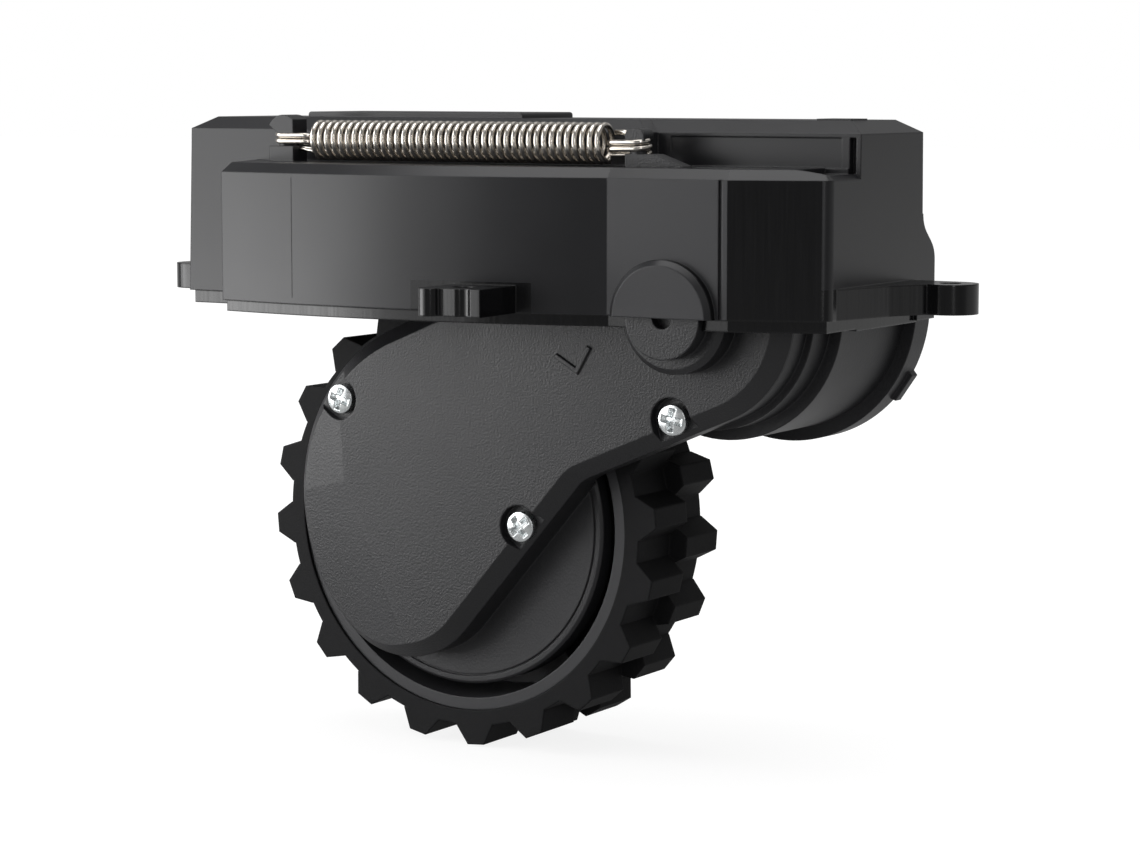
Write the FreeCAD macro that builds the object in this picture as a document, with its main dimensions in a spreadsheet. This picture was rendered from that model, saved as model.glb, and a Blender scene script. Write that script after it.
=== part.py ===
import FreeCAD, Part
import math
import os
import re
import Sketcher
from FreeCAD import Placement, Rotation, Vector

# Drive wheel module of a floor cleaning robot.
# The origin is the centre of the front ear's screw hole on the ears' seating plane.
# X runs along the module, Y across it and Z up. The wheel hangs at the left of the pivot.

os.makedirs("parts", exist_ok=True)
doc = FreeCAD.newDocument("wheel_module")
sheet = doc.addObject("Spreadsheet::Sheet", "sizes")

SIZES = [
    ("pivot_x", 27.4, "pivot axis from the front ear's hole"),
    ("arm_reach", 43.9, "wheel axle left of the pivot at rest"),
    ("arm_drop", 34.1, "wheel axle below the pivot at rest"),
    ("wheel_y", 23.5, "front plane of the tyre"),
    ("fit_gap", 0.08, "radial clearance of a running fit"),
    ("side_gap", 0.3, "clearance beside a moving piece"),
    ("wall", 1.8, "wall of the housing"),
    ("tray_top", 21.1, "top of the low front tray"),
    ("tray_bevel", 1.5, "bevel of the tray's top edge"),
    ("block_top", 27.8, "top of the wheel arch block"),
    ("bevel_drop", 1.85, "height of the block's top bevel"),
    ("bevel_width", 3.05, "width of the block's top bevel"),
    ("block_left", 67.0, "left face of the block, left of the ear's hole"),
    ("block_right", 51.0, "right face of the block"),
    ("block_front", 21.3, "front face of the block"),
    ("block_rear", 45.8, "rear face of the block"),
    ("corner_r", 3.0, "upright corners of the block"),
    ("draft_deg", 1.0, "draft of the block's walls"),
    ("set_left", 18.3, "left end of the block front's set-back part"),
    ("set_back", 3.1, "depth of that set-back"),
    ("panel_right", 47.9, "right end of the sunk panel on it"),
    ("panel_top", 25.4, "top of the sunk panel"),
    ("panel_deep", 0.6, "depth of the sunk panel"),
    ("gap_left", 49.2, "narrow recess beside the panel"),
    ("gap_wide", 1.0, "narrow recess beside the panel"),
    ("gap_deep", 1.6, "narrow recess beside the panel"),
    ("tray_front", 5.9, "front left corner of the tray"),
    ("tray_left", 48.3, "front left corner, left of the ear's hole"),
    ("tray_flare", 6.7, "slant of the tray's left side"),
    ("tray_arc_r", 135.0, "curve of the tray's front wall"),
    ("facet_left", 9.4, "flat facet's left end, left of the pivot"),
    ("facet_right", 10.2, "flat facet's right end, right of the pivot"),
    ("groove_right", 8.8, "upright groove in the facet, right of the pivot"),
    ("groove_wide", 0.5, "that groove"),
    ("groove_deep", 0.4, "that groove"),
    ("facet_y", 10.0, "flat facet that carries the pivot"),
    ("corner_y", 15.2, "front right corner of the tray"),
    ("corner_edge_r", 1.8, "rounding of that corner"),
    ("step_drop", 0.8, "step down in the tray's top at the right end"),
    ("step_run", 1.8, "length of that step"),
    ("outlet_left", 45.5, "wire outlet in the tray's top"),
    ("tray_overlap", 8.2, "reach of the tray behind the block's front face"),
    ("lip_drop", 1.7, "depth of the locating lip"),
    ("lip_more", 0.3, "extra depth of the block's lip"),
    ("lip_step", 0.6, "lip set in from the walls"),
    ("cap_r", 8.3, "half-round cap over the pivot pin"),
    ("cap_out", 1.8, "cap proud of the facet"),
    ("cap_skin", 1.1, "front skin of the cap"),
    ("cap_edge", 0.8, "bevel of the cap's front edge"),
    ("pin_r", 6.05, "pivot pin"),
    ("pin_out", 0.6, "pin proud of the facet"),
    ("pin_dimple_r", 1.6, "dimple in the pin's end"),
    ("boss_r", 8.4, "boss behind the pin"),
    ("boss_edge", 0.8, "bevel of the boss's front edge"),
    ("slot_right", 38.0, "right end of the lever slot, right of the ear's hole"),
    ("rear_skirt_out", 4.2, "skirt behind the block's right end"),
    ("rear_skirt_top", 7.0, "straight height of that skirt"),
    ("rear_skirt_run", 7.0, "height of its curved shoulder"),
    ("rib_height", 0.85, "raised arch rib on the roof"),
    ("rib_left", 46.8, "arch rib's left end, left of the ear's hole"),
    ("rib_right", 6.7, "arch rib's right end, left of the ear's hole"),
    ("rib_front", 26.5, "arch rib's front"),
    ("rib_rear", 41.0, "arch rib's rear"),
    ("rib_end_r", 0.5, "rounded ends of the arch rib"),
    ("pad_left", 42.3, "low pad on the roof"),
    ("pad_long", 5.6, "low pad on the roof"),
    ("pad_front", 28.0, "low pad on the roof"),
    ("pad_wide", 5.0, "low pad on the roof"),
    ("pad_high", 0.25, "low pad on the roof"),
    ("ear_thick", 4.0, "screw ears"),
    ("ear_hole_r", 1.6, "screw holes in the ears"),
    ("ear_boss_r", 4.1, "round ends of the side ears"),
    ("ear_left", 4.8, "front ear's left side, left of its hole"),
    ("ear_right", 5.5, "front ear's right end at its front edge"),
    ("ear_taper", 0.8, "taper of its right side towards the wall"),
    ("ear_lobe_x", 3.2, "round lobe at its left corner"),
    ("ear_lobe_y", 4.0, "round lobe at its left corner"),
    ("ear_lobe_r", 1.6, "round lobe at its left corner"),
    ("ear_nick_x", 1.1, "small nick in its front edge, left of the hole"),
    ("ear_nick_r", 0.35, "small nick in its front edge"),
    ("scallop_x", 2.6, "scallop in its front edge, right of the hole"),
    ("scallop_y", 4.8, "scallop in its front edge"),
    ("scallop_r", 1.4, "scallop in its front edge"),
    ("ear_reach", 4.2, "front ear's front edge from its hole"),
    ("right_ear_x", 58.8, "right ear's hole"),
    ("right_ear_y", 38.5, "right ear's hole"),
    ("right_ear_thick", 4.4, "right ear"),
    ("right_web_front", 17.5, "front end of the right ear's web"),
    ("right_web_mid", 28.7, "bend of that web"),
    ("right_web_out", 2.8, "the web's reach from the wall at the bend"),
    ("right_web_end", 5.9, "the web's reach from the wall at its rear end"),
    ("left_ear_x", 69.9, "left ear's hole, left of the front ear's"),
    ("left_ear_y", 28.2, "left ear's hole"),
    ("spring_y", 17.4, "line of the tension spring"),
    ("spring_z", 24.4, "height of the spring"),
    ("left_post_x", 44.1, "left spring post, left of the ear's hole"),
    ("lever_left", 8.35, "spring post on the lever, left of the pivot"),
    ("lever_width", 3.2, "spring post on the lever"),
    ("lever_depth", 2.8, "thickness of the lever"),
    ("lever_sink", 0.5, "lever's post lower than the left post"),
    ("lever_shelf", 1.6, "lever's top beside the post"),
    ("lever_foot", 0.7, "lever's root above the pivot, as a share of the cover's small radius"),
    ("lever_round", 0.6, "rounding of the lever post's head, as a share of its height"),
    ("lever_knee_x", 0.5, "bend of the lever's right edge, left of the pivot"),
    ("lever_knee_z", 21.3, "bend of the lever's right edge"),
    ("lever_out", 5.0, "lever's root, right of the pivot"),
    ("post_width", 4.6, "left spring post"),
    ("post_depth", 3.6, "left spring post"),
    ("neck_r", 1.4, "necks that hold the hooks"),
    ("neck_high", 1.9, "height of the necks"),
    ("head_side", 2.2, "upright right side of that head"),
    ("head_beak", 1.3, "height of its overhang on the left"),
    ("head_under", 1.8, "slant under the overhang"),
    ("head_bow", 3.0, "curve of the head's top"),
    ("lever_head", 1.8, "height of the lever post's head"),
    ("big_r", 28.6, "gearbox outline round the wheel"),
    ("big_dx", 2.5, "its centre right of the axle"),
    ("big_dz", 3.5, "its centre above the axle"),
    ("small_r", 16.3, "gearbox outline round the pivot"),
    ("bottom_r", 15.0, "gearbox outline's lower corner"),
    ("knee_dx", 25.3, "bend of the lower edge, right of the axle"),
    ("knee_dz", 8.6, "bend of the lower edge, above the axle"),
    ("knee_r", 5.0, "radius of that bend"),
    ("steep_deg", 49.4, "slope of the lower edge"),
    ("left_screw_dx", 17.6, "left cover screw, left of the axle"),
    ("left_screw_dz", 18.6, "left cover screw, above the axle"),
    ("mid_screw_dx", 15.4, "middle cover screw, right of the axle"),
    ("mid_screw_dz", 1.1, "middle cover screw, above the axle"),
    ("right_screw_dx", 2.4, "right cover screw, left of the pivot"),
    ("right_screw_dz", 15.4, "right cover screw, below the pivot"),
    ("left_screw_deg", 145.0, "way in which its recess opens"),
    ("right_screw_deg", -72.0, "way in which its recess opens"),
    ("case_wall", 1.5, "walls of the gearbox"),
    ("case_floor", 1.2, "floor of the gearbox"),
    ("case_gap", 0.5, "gearbox in front of the tyre"),
    ("split_front", 4.7, "parting plane in front of the tyre"),
    ("cover_front", 7.2, "cover's face in front of the tyre"),
    ("cover_bevel", 2.3, "bevel of the cover's lower edge"),
    ("cover_skin", 1.3, "thickness of the cover"),
    ("facet_drop", 2.0, "slope of the cover's left facet"),
    ("facet_run", 11.0, "length of that slope"),
    ("facet_top_dx", 17.6, "facet line's upper point, left of the axle"),
    ("facet_top_dz", 18.4, "facet line's upper point, above the axle"),
    ("facet_bend_dx", 16.7, "facet line's bend, left of the axle"),
    ("facet_bend_dz", 5.9, "facet line's bend, above the axle"),
    ("facet_low_dx", 5.6, "facet line's lower point, left of the axle"),
    ("facet_low_dz", 18.2, "facet line's lower point, below the axle"),
    ("disc_gap", 2.2, "gearbox disc inside the wheel's rim"),
    ("disc_edge", 0.4, "bevel of the disc's front edge"),
    ("disc_line_in", 1.2, "fine groove in the disc's face, from its edge"),
    ("disc_line", 0.3, "that groove's width and depth"),
    ("disc_set", 0.44, "disc's face behind the tyre's front plane"),
    ("disc_cover", 1.2, "cover at the back of the disc"),
    ("disc_screw_r", 20.6, "circle of the disc cover's screws"),
    ("drum_step", 1.9, "neck between gearbox and motor drum"),
    ("drum_gap", 1.29, "motor drum clear of the tyre"),
    ("drum_front", 4.7, "motor drum's front edge behind the tyre's"),
    ("drum_rear", 25.0, "motor drum's rear edge behind the tyre's front"),
    ("drum_wall", 1.8, "wall of the motor drum"),
    ("mount_plate", 2.7, "plate that carries the motor"),
    ("cap_step", 2.1, "flange of the rear cap, past the drum"),
    ("cap_flange", 5.5, "depth of the rear cap"),
    ("cap_rear_edge", 0.7, "bevel of the rear cap"),
    ("tab_out", 0.7, "tab on the rear cap"),
    ("tab_half", 2.4, "half the tab's width at its tip"),
    ("tab_deg", 35.0, "the tab's direction below the right"),
    ("can_gap", 2.0, "motor can inside the drum"),
    ("tap_share", 0.6, "motor screws' distance from the shaft, as a share of the can's radius"),
    ("bell_share", 0.92, "end bell's radius, as a share of the can's"),
    ("can_long", 19.0, "motor can"),
    ("bell_long", 2.5, "motor end bell"),
    ("shaft_r", 1.0, "motor shaft"),
    ("gear_thick", 1.6, "face width of the gears"),
    ("gear_gap", 0.2, "space between the gear layers"),
    ("pinion_teeth", 12, "motor pinion"),
    ("first_teeth", 40, "large wheel of the first gear"),
    ("first_small", 15, "small wheel of the first gear"),
    ("second_teeth", 38, "large wheel of the second gear"),
    ("second_small", 14, "small wheel of the second gear"),
    ("third_teeth", 36, "large wheel of the third gear"),
    ("third_small", 12, "small wheel of the third gear"),
    ("output_teeth", 42, "output gear"),
    ("train_span", 55.59, "span from pivot to axle for which the modules are given"),
    ("fine_module", 0.5, "motor pinion and first gear"),
    ("mid_module", 0.6, "first, second and third gear"),
    ("coarse_module", 0.7, "third and output gear"),
    ("first_turn_deg", 23.85, "first gear above the line from pivot to axle"),
    ("third_turn_deg", 40.16, "third gear above the line from axle to pivot"),
    ("gear_pin_r", 0.9, "fixed pins of the gears"),
    ("axle_r", 2.5, "wheel axle"),
    ("bush_r", 4.0, "bushes of the axle"),
    ("bush_boss_r", 6.2, "boss round the rear bush"),
    ("bush_long", 3.3, "each bush"),
    ("wheel_r", 35.0, "tyre over its lugs"),
    ("wheel_w", 19.0, "tyre"),
    ("lug_high", 3.0, "lugs of the tread"),
    ("lug_count", 20, "lugs in a row"),
    ("lug_top", 3.0, "width of a lug's top"),
    ("lug_root", 6.6, "width of a lug's root"),
    ("lug_first_deg", 4.7, "first front lug"),
    ("tread_thick", 2.4, "rubber under the lugs"),
    ("rim_wall", 1.9, "rim"),
    ("rim_set", 0.4, "rim's edge behind the tyre's front"),
    ("web_thick", 2.0, "web of the wheel"),
    ("web_back", 2.6, "web from the wheel's rear plane"),
    ("hub_r", 6.0, "hub of the wheel"),
    ("washer_share", 0.7, "washer's radius, as a share of the hub's"),
    ("hub_gap", 0.76, "hub behind the bearing boss"),
    ("rib_count", 6, "ribs on the web"),
    ("rib_thick", 1.4, "ribs on the web"),
    ("rib_deep", 4.0, "ribs on the web"),
    ("screw_head_r", 2.3, "cover screws"),
    ("screw_head_high", 1.7, "cover screws"),
    ("screw_short", 0.8, "what a screw stops short of the bottom of its hole"),
    ("flat_head", 1.4, "motor screw's head radius, as a share of its shank's"),
    ("head_rim", 0.45, "upright rim of the head, as a share of its height"),
    ("head_flat", 0.6, "flat of the head's dome, as a share of its radius"),
    ("cross_deg", 20.0, "turn of the head's cross"),
    ("cross_half", 0.6, "half the cross's length, as a share of the head's radius"),
    ("cross_wide", 0.25, "width of the cross's arms, as a share of the head's radius"),
    ("screw_r", 1.15, "shanks of the cover screws"),
    ("screw_long", 3.0, "shanks of the cover screws"),
    ("recess_r", 3.3, "recesses round the cover screws"),
    ("recess_floor", 0.9, "floor of those recesses"),
    ("wire_r", 0.42, "wire of the spring"),
    ("coil_r", 2.7, "centre line of the coil"),
    ("coil_turns", 40, "turns of the coil"),
    ("coil_left", 38.4, "left end of the coil, left of the ear's hole"),
    ("coil_right", 13.9, "right end of the coil"),
]
WORDS = {name for name, _, _ in SIZES}
for row, (name, number, words) in enumerate(SIZES, start=1):
    sheet.set("A%d" % row, words)
    sheet.set("B%d" % row, str(number))
    sheet.setAlias("B%d" % row, name)
doc.recompute()


# Two points this close are one.
NEAR = 0.001
# Directions of the disc cover's screws, from the third gear.
DISC_SCREW_DEGS = (60, 180, -105)
# A gear tooth: its tip and root from the pitch circle, in modules, and half its widths, in pitches.
TOOTH_TIP = 0.85
TOOTH_ROOT = 1.1
TIP_HALF = 0.11
ROOT_HALF = 0.31
# The spring's wire: straight pieces in a turn of the coil, sides of the wire, and steps round a hook.
COIL_STEPS = 10
WIRE_SIDES = 6
HOOK_DEGS = range(-60, 331, 39)

SUBPARTS = []


def size(name):
    """The number in the sheet under this name."""
    return float(sheet.get(name))


def formula(text):
    """The text with each size's name pointed at its cell."""

    def pointed(match):
        word = match.group(0)
        return "sizes." + word if word in WORDS else word

    return re.sub(r"[a-z][a-z0-9_]*", pointed, text)


def number_of(text):
    """The number that a formula gives now."""
    result = sheet.evalExpression(formula(text))
    return float(getattr(result, "Value", result))


def bind(obj, prop, text):
    """Tie one property of an object to the sheet."""
    obj.setExpression(prop, formula(text))


ALONG = {"z": Rotation(), "y": Rotation(Vector(1, 0, 0), -90), "x": Rotation(Vector(0, 1, 0), 90)}


def place(obj, x, y, z, along="z"):
    """Put an object at a bound place, its own Z along the named axis."""
    obj.Placement = Placement(Vector(), ALONG[along])
    bind(obj, ".Placement.Base.x", x)
    bind(obj, ".Placement.Base.y", y)
    bind(obj, ".Placement.Base.z", z)


def box(name, x, y, z, long, wide, high):
    """A box from its low corner."""
    obj = doc.addObject("Part::Box", name)
    bind(obj, "Length", long)
    bind(obj, "Width", wide)
    bind(obj, "Height", high)
    place(obj, x, y, z)
    return obj


def cylinder(name, x, y, z, radius, long, along="y"):
    """A cylinder from the centre of its first end."""
    obj = doc.addObject("Part::Cylinder", name)
    bind(obj, "Radius", radius)
    bind(obj, "Height", long)
    place(obj, x, y, z, along)
    return obj


def cone(name, x, y, z, first_r, last_r, long, along="y"):
    """A cone from the centre of its first end."""
    obj = doc.addObject("Part::Cone", name)
    bind(obj, "Radius1", first_r)
    bind(obj, "Radius2", last_r)
    bind(obj, "Height", long)
    place(obj, x, y, z, along)
    return obj


def fuse(name, *pieces):
    """One solid from several."""
    obj = doc.addObject("Part::MultiFuse", name)
    obj.Shapes = list(pieces)
    obj.Refine = True
    return obj


def cut(name, base, *tools):
    """A solid less its tools."""
    obj = doc.addObject("Part::Cut", name)
    obj.Base = base
    obj.Tool = tools[0] if len(tools) == 1 else fuse(name + "_tools", *tools)
    obj.Refine = True
    return obj


def common(name, first, second):
    """What two solids share."""
    obj = doc.addObject("Part::Common", name)
    obj.Base = first
    obj.Tool = second
    return obj


def outline(name, points, front=False):
    """A closed sketch, anticlockwise. A third item is the radius of the bow to the next point."""
    sketch = doc.addObject("Sketcher::SketchObject", name)
    if front:
        sketch.Placement = Placement(Vector(), Rotation(Vector(1, 0, 0), 90))
    spots = [Vector(number_of(p[0]), number_of(p[1]), 0) for p in points]
    for i, point in enumerate(points):
        start, end = spots[i], spots[(i + 1) % len(spots)]
        if len(point) == 3:
            half = (end - start) * 0.5
            radius = number_of(point[2])
            sagitta = radius - math.sqrt(radius ** 2 - half.Length ** 2)
            middle = start + half + Vector(half.y, -half.x, 0).normalize() * sagitta
            sketch.addGeometry(Part.Arc(start, middle, end))
        else:
            sketch.addGeometry(Part.LineSegment(start, end))
    constrain(sketch, points, spots)
    return sketch


def constrain(sketch, points, spots):
    """Join a sketch's sides and tie each corner, and each bow's radius, to the sheet."""
    for i, point in enumerate(points):
        sketch.addConstraint(Sketcher.Constraint("Coincident", i, 2, (i + 1) % len(points), 1))
        for kind, text, at in (("DistanceX", point[0], spots[i].x), ("DistanceY", point[1], spots[i].y)):
            index = sketch.addConstraint(Sketcher.Constraint(kind, i, 1, at))
            sketch.setExpression("Constraints[%d]" % index, formula(text))
        if len(point) == 3:
            index = sketch.addConstraint(Sketcher.Constraint("Radius", i, number_of(point[2])))
            sketch.setExpression("Constraints[%d]" % index, formula(point[2]))


def inset(name, sketch, text):
    """The outline of a sketch, set in all round."""
    obj = doc.addObject("Part::Offset2D", name)
    obj.Source = sketch
    obj.Join = 2
    bind(obj, "Value", "-(" + text + ")")
    return obj


def extrude(name, profile, low, high, direction=(0, 0, 1)):
    """A solid from a profile, between two bound levels."""
    obj = doc.addObject("Part::Extrusion", name)
    obj.Base = profile
    obj.DirMode = "Custom"
    obj.Dir = Vector(*direction)
    obj.Solid = True
    bind(obj, "LengthFwd", high)
    bind(obj, "LengthRev", "-(" + low + ")")
    return obj


def feature(name, shape):
    """A solid that is worked out below from the same sizes."""
    obj = doc.addObject("Part::Feature", name)
    obj.Shape = shape
    obj.Placement = Placement()
    return obj


def finish(obj, label):
    """Give a finished sub-part its name."""
    obj.Label = label
    SUBPARTS.append(obj)


# Places that several pieces share.
AXLE_X = "(pivot_x - arm_reach)"
AXLE_Z = "(-arm_drop)"
PLATE_BACK = "(wheel_y - case_gap)"
SPLIT = "(wheel_y - split_front)"
FACE = "(wheel_y - cover_front)"
BOSS_FRONT = "(facet_y + wall + side_gap)"
PIN_FRONT = "(facet_y - pin_out)"
POST_Z = "(spring_z - neck_high / 2)"
HEAD_Z = "(spring_z + neck_high / 2)"
SET_FRONT = "(block_front + set_back)"
BEVEL_Z = "(block_top - bevel_drop)"
LEAN = "(" + BEVEL_Z + " * tan(draft_deg))"
FLOOR = "(wheel_y - case_gap - case_floor)"
REAR_LAYER = "(" + FLOOR + " - gear_gap - gear_thick)"
FRONT_LAYER = "(" + REAR_LAYER + " - gear_gap - gear_thick)"
DISC_ROOM = "(wheel_y + disc_set + case_floor)"
DISC_LAYER = "(" + DISC_ROOM + " + gear_gap)"
DISC_BACK = "(" + DISC_LAYER + " + gear_thick + gear_gap)"
DISC_END = "(" + DISC_BACK + " + disc_cover)"
REAR_BUSH = "(" + DISC_BACK + " + gear_gap)"
BOSS_END = "(" + REAR_BUSH + " + bush_long)"
MOTOR_FACE = "(" + FLOOR + " + mount_plate)"
BELL = "(" + MOTOR_FACE + " + can_long)"
DRUM_REAR = "(wheel_y + drum_rear)"

# Radii that follow from the wheel and from the space between wheel and pivot.
RIM_R = "(wheel_r - lug_high - tread_thick)"
DISC_R = "(" + RIM_R + " - rim_wall - disc_gap)"
DRUM_R = "(sqrt(arm_reach * arm_reach + arm_drop * arm_drop) - wheel_r - drum_gap)"
SHOULDER_R = "(" + DRUM_R + " - drum_step)"
CAP_R = "(" + DRUM_R + " + cap_step)"
CAN_R = "(" + DRUM_R + " - drum_wall - can_gap)"


def top_edges(shape, level):
    """Numbers of the edges that lie flat at a height."""
    found = []
    for number, edge in enumerate(shape.Edges, start=1):
        if all(abs(v.Z - level) < NEAR for v in edge.Vertexes) and abs(edge.BoundBox.ZLength) < NEAR:
            found.append(number)
    return found


def upright_edges(shape, x, y):
    """Numbers of the upright edges at a place."""
    found = []
    for number, edge in enumerate(shape.Edges, start=1):
        if all(math.hypot(v.X - x, v.Y - y) < NEAR for v in edge.Vertexes):
            found.append(number)
    return found


def bevel(name, base, level, low, wide):
    """A bevel round the top of a solid: low down the wall, wide across the roof."""
    doc.recompute()
    obj = doc.addObject("Part::Chamfer", name)
    obj.Base = base
    obj.Edges = [(number, low, wide) for number in top_edges(base.Shape, level)]
    return obj


def rounded(name, base, x, y, radius):
    """An upright corner rounded off."""
    doc.recompute()
    obj = doc.addObject("Part::Fillet", name)
    obj.Base = base
    obj.Edges = [(number, radius, radius) for number in upright_edges(base.Shape, x, y)]
    return obj


def block_line(name, right):
    """The plan of the wheel arch block up to a right end. Its front steps back at the right."""
    return outline(name, [
        ("-block_left", "block_front"),
        ("set_left", "block_front"),
        ("set_left", SET_FRONT),
        (right, SET_FRONT),
        (right, "block_rear"),
        ("-block_left + corner_r", "block_rear"),
        ("-block_left", "block_rear - corner_r"),
    ])


def build_block():
    """The wheel arch block: drafted walls, an upright right wall and a wide bevel round the roof."""
    walls = extrude("block_walls", block_line("block_outline", "block_right + corner_r"), "0", BEVEL_Z)
    bind(walls, "TaperAngle", "-draft_deg")
    limit = box("block_limit", "-block_left", "block_front", "0", "block_left + block_right",
                "block_rear - block_front", BEVEL_Z)
    roof_line = inset("block_roof_line", block_line("block_roof_outline", "block_right + " + LEAN), LEAN)
    roof = extrude("block_roof", roof_line, "0", "bevel_drop")
    bind(roof, "TaperAngle", "-atan(bevel_width / bevel_drop)")
    bind(roof, ".Placement.Base.z", BEVEL_Z)
    return fuse("block_body", common("block_lower", walls, limit), roof)


def build_tray(plan):
    """The low tray in front of the block, with a rounded right corner and a bevelled top."""
    tray = extrude("tray_body", plan, "0", "tray_top")
    tray = rounded("tray_right_round", tray, size("block_right"), size("corner_y"), size("corner_edge_r"))
    return bevel("tray_bevelled", tray, size("tray_top"), size("tray_bevel"), size("tray_bevel"))


def build_housing():
    """The fixed moulding: a low tray in front of the wheel arch block, with ears, cap and post."""
    tray_plan = outline("tray_outline", [
        ("-tray_left", "tray_front", "tray_arc_r"),
        ("pivot_x - facet_left", "facet_y"),
        ("pivot_x + facet_right", "facet_y"),
        ("block_right", "corner_y"),
        ("block_right", "block_front + tray_overlap"),
        ("-tray_left - tray_flare", "block_front + tray_overlap"),
        ("-tray_left - tray_flare", "block_front"),
    ])
    block_plan = block_line("block_room_outline", "block_right")
    tray_lip = extrude("tray_lip", inset("tray_lip_line", tray_plan, "lip_step"), "-lip_drop", "wall")
    block_lip = extrude("block_lip", inset("block_lip_line", block_plan, "lip_step"),
                        "-lip_drop - lip_more", "wall")
    tray_room = extrude("tray_room", inset("tray_room_line", tray_plan, "wall"),
                        "-2 * lip_drop", "tray_top - wall")
    block_room = extrude("block_room", inset("block_room_line", block_plan, "wall"),
                         "-2 * lip_drop", "block_top - wall")
    walls = fuse("walls", build_tray(tray_plan), build_block(), tray_lip, block_lip, arch_rib(), roof_pad())
    shell = cut("shell", walls, tray_room, block_room)
    added = fuse("moulding", shell, rear_skirt(), pivot_cap(), front_ear(), right_ear(), left_ear(),
                 left_post())
    finish(cut("housing_solid", added, *housing_cuts()), "housing")


def housing_cuts():
    """What is taken out of the housing: bores, lever slot, ear holes, step, groove and sunk panel."""
    tools = [
        cylinder("pin_bore", "pivot_x", "facet_y - cap_out + cap_skin", "0", "pin_r + fit_gap",
                 "cap_out + 2 * wall"),
        cylinder("drum_bore", "pivot_x", "block_rear - 2 * wall", "0", DRUM_R + " + fit_gap",
                 "3 * wall + rear_skirt_out"),
        box("lever_slot", "pivot_x - lever_left - lever_width / 2 - side_gap",
            "spring_y - post_depth / 2 - 2 * side_gap", "tray_top - 2 * wall",
            "slot_right - pivot_x + lever_left + lever_width / 2 + side_gap",
            "post_depth + 4 * side_gap", "3 * wall"),
        box("facet_groove", "pivot_x + groove_right", "facet_y - groove_deep", "-lip_drop", "groove_wide",
            "2 * groove_deep", "lip_drop + tray_top - tray_bevel"),
        box("sunk_panel", "set_left + wall", SET_FRONT + " - wall", "tray_top",
            "panel_right - set_left - wall", "wall + panel_deep", "panel_top - tray_top"),
        box("narrow_recess", "gap_left", SET_FRONT + " - wall", "tray_top - step_drop", "gap_wide",
            "wall + gap_deep", "panel_top - tray_top + step_drop"),
        box("wire_outlet", "outlet_left", "corner_y + step_run + wall", "tray_top - 2 * wall",
            "block_right - wall - outlet_left", SET_FRONT + " - corner_y - step_run - 2 * wall",
            "3 * wall"),
        top_step(),
    ]
    for name, x, y in (("front", "0", "0"), ("right", "right_ear_x", "right_ear_y"),
                       ("left", "-left_ear_x", "left_ear_y")):
        tools.append(cylinder(name + "_ear_hole", x, y, "-ear_thick", "ear_hole_r", "3 * ear_thick", "z"))
    return tools


def s_curve(start, end, lead):
    """An S-curve between two points, leaving and arriving along the lead."""
    curve = Part.BezierCurve()
    curve.setPoles([start, start + lead, end - lead, end])
    return curve.toShape()


def along_x(name, edges, start, long):
    """A solid along X from the edges of a side view."""
    face = doc.addObject("Part::Feature", name + "_outline")
    face.Shape = Part.Face(Part.Wire(edges))
    obj = extrude(name, face, "0", long, (1, 0, 0))
    bind(obj, ".Placement.Base.x", start)
    return obj


def top_step():
    """The cut that lowers the tray's top at its right end, down an S-curve."""
    top, clear = size("tray_top"), size("tray_top") + size("wall")
    low = top - size("step_drop")
    start = Vector(0, size("corner_y") - size("step_run") / 3, top)
    end = start + Vector(0, size("step_run"), -size("step_drop"))
    corners = [end, Vector(0, number_of(SET_FRONT), low), Vector(0, number_of(SET_FRONT), clear),
               Vector(0, start.y, clear), start]
    curve = s_curve(start, end, Vector(0, size("step_run") / 2, 0))
    lines = [Part.makeLine(a, b) for a, b in zip(corners, corners[1:])]
    return along_x("top_step", [curve] + lines, "outlet_left", "block_right + wall - outlet_left")


def rear_skirt():
    """The skirt behind the right wall: straight, then an S-curve up to the rear face."""
    back, low = size("block_rear") + size("rear_skirt_out"), -size("lip_drop")
    wall_in = size("block_rear") - size("wall")
    turn = size("rear_skirt_top")
    top = turn + size("rear_skirt_run")
    start, end = Vector(0, back, turn), Vector(0, size("block_rear"), top)
    corners = [end, Vector(0, wall_in, top), Vector(0, wall_in, low), Vector(0, back, low), start]
    curve = s_curve(start, end, Vector(0, 0, size("rear_skirt_run") / 2))
    lines = [Part.makeLine(a, b) for a, b in zip(corners, corners[1:])]
    return along_x("rear_skirt", [curve] + lines, "block_right - wall", "wall")


def arch_rib():
    """The raised rib over the wheel, with rounded ends."""
    rib = box("arch_rib_bar", "-rib_left", "rib_front", "block_top - wall / 2", "rib_left - rib_right",
              "rib_rear - rib_front", "wall / 2 + rib_height")
    doc.recompute()
    obj = doc.addObject("Part::Fillet", "arch_rib")
    obj.Base = rib
    radius = size("rib_end_r")
    ends = [number for number in top_edges(rib.Shape, size("block_top") + size("rib_height"))
            if rib.Shape.Edges[number - 1].BoundBox.XLength < NEAR]
    obj.Edges = [(number, radius, radius) for number in ends]
    return obj


def roof_pad():
    """The low pad near the roof's right end."""
    return box("roof_pad", "pad_left", "pad_front", "block_top - wall / 2", "pad_long", "pad_wide",
               "wall / 2 + pad_high")


def pivot_cap():
    """The half-round cap over the pivot pin, with a bevelled front edge."""
    edge = cone("cap_bevel", "pivot_x", "facet_y - cap_out", "0", "cap_r - cap_edge", "cap_r", "cap_edge")
    drum = cylinder("cap_round", "pivot_x", "facet_y - cap_out + cap_edge", "0", "cap_r",
                    "cap_out + wall - cap_edge")
    half = box("cap_half", "pivot_x - cap_r", "facet_y - cap_out", "0", "2 * cap_r", "cap_out + wall",
               "cap_r")
    return common("pivot_cap", fuse("cap_form", edge, drum), half)


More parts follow.
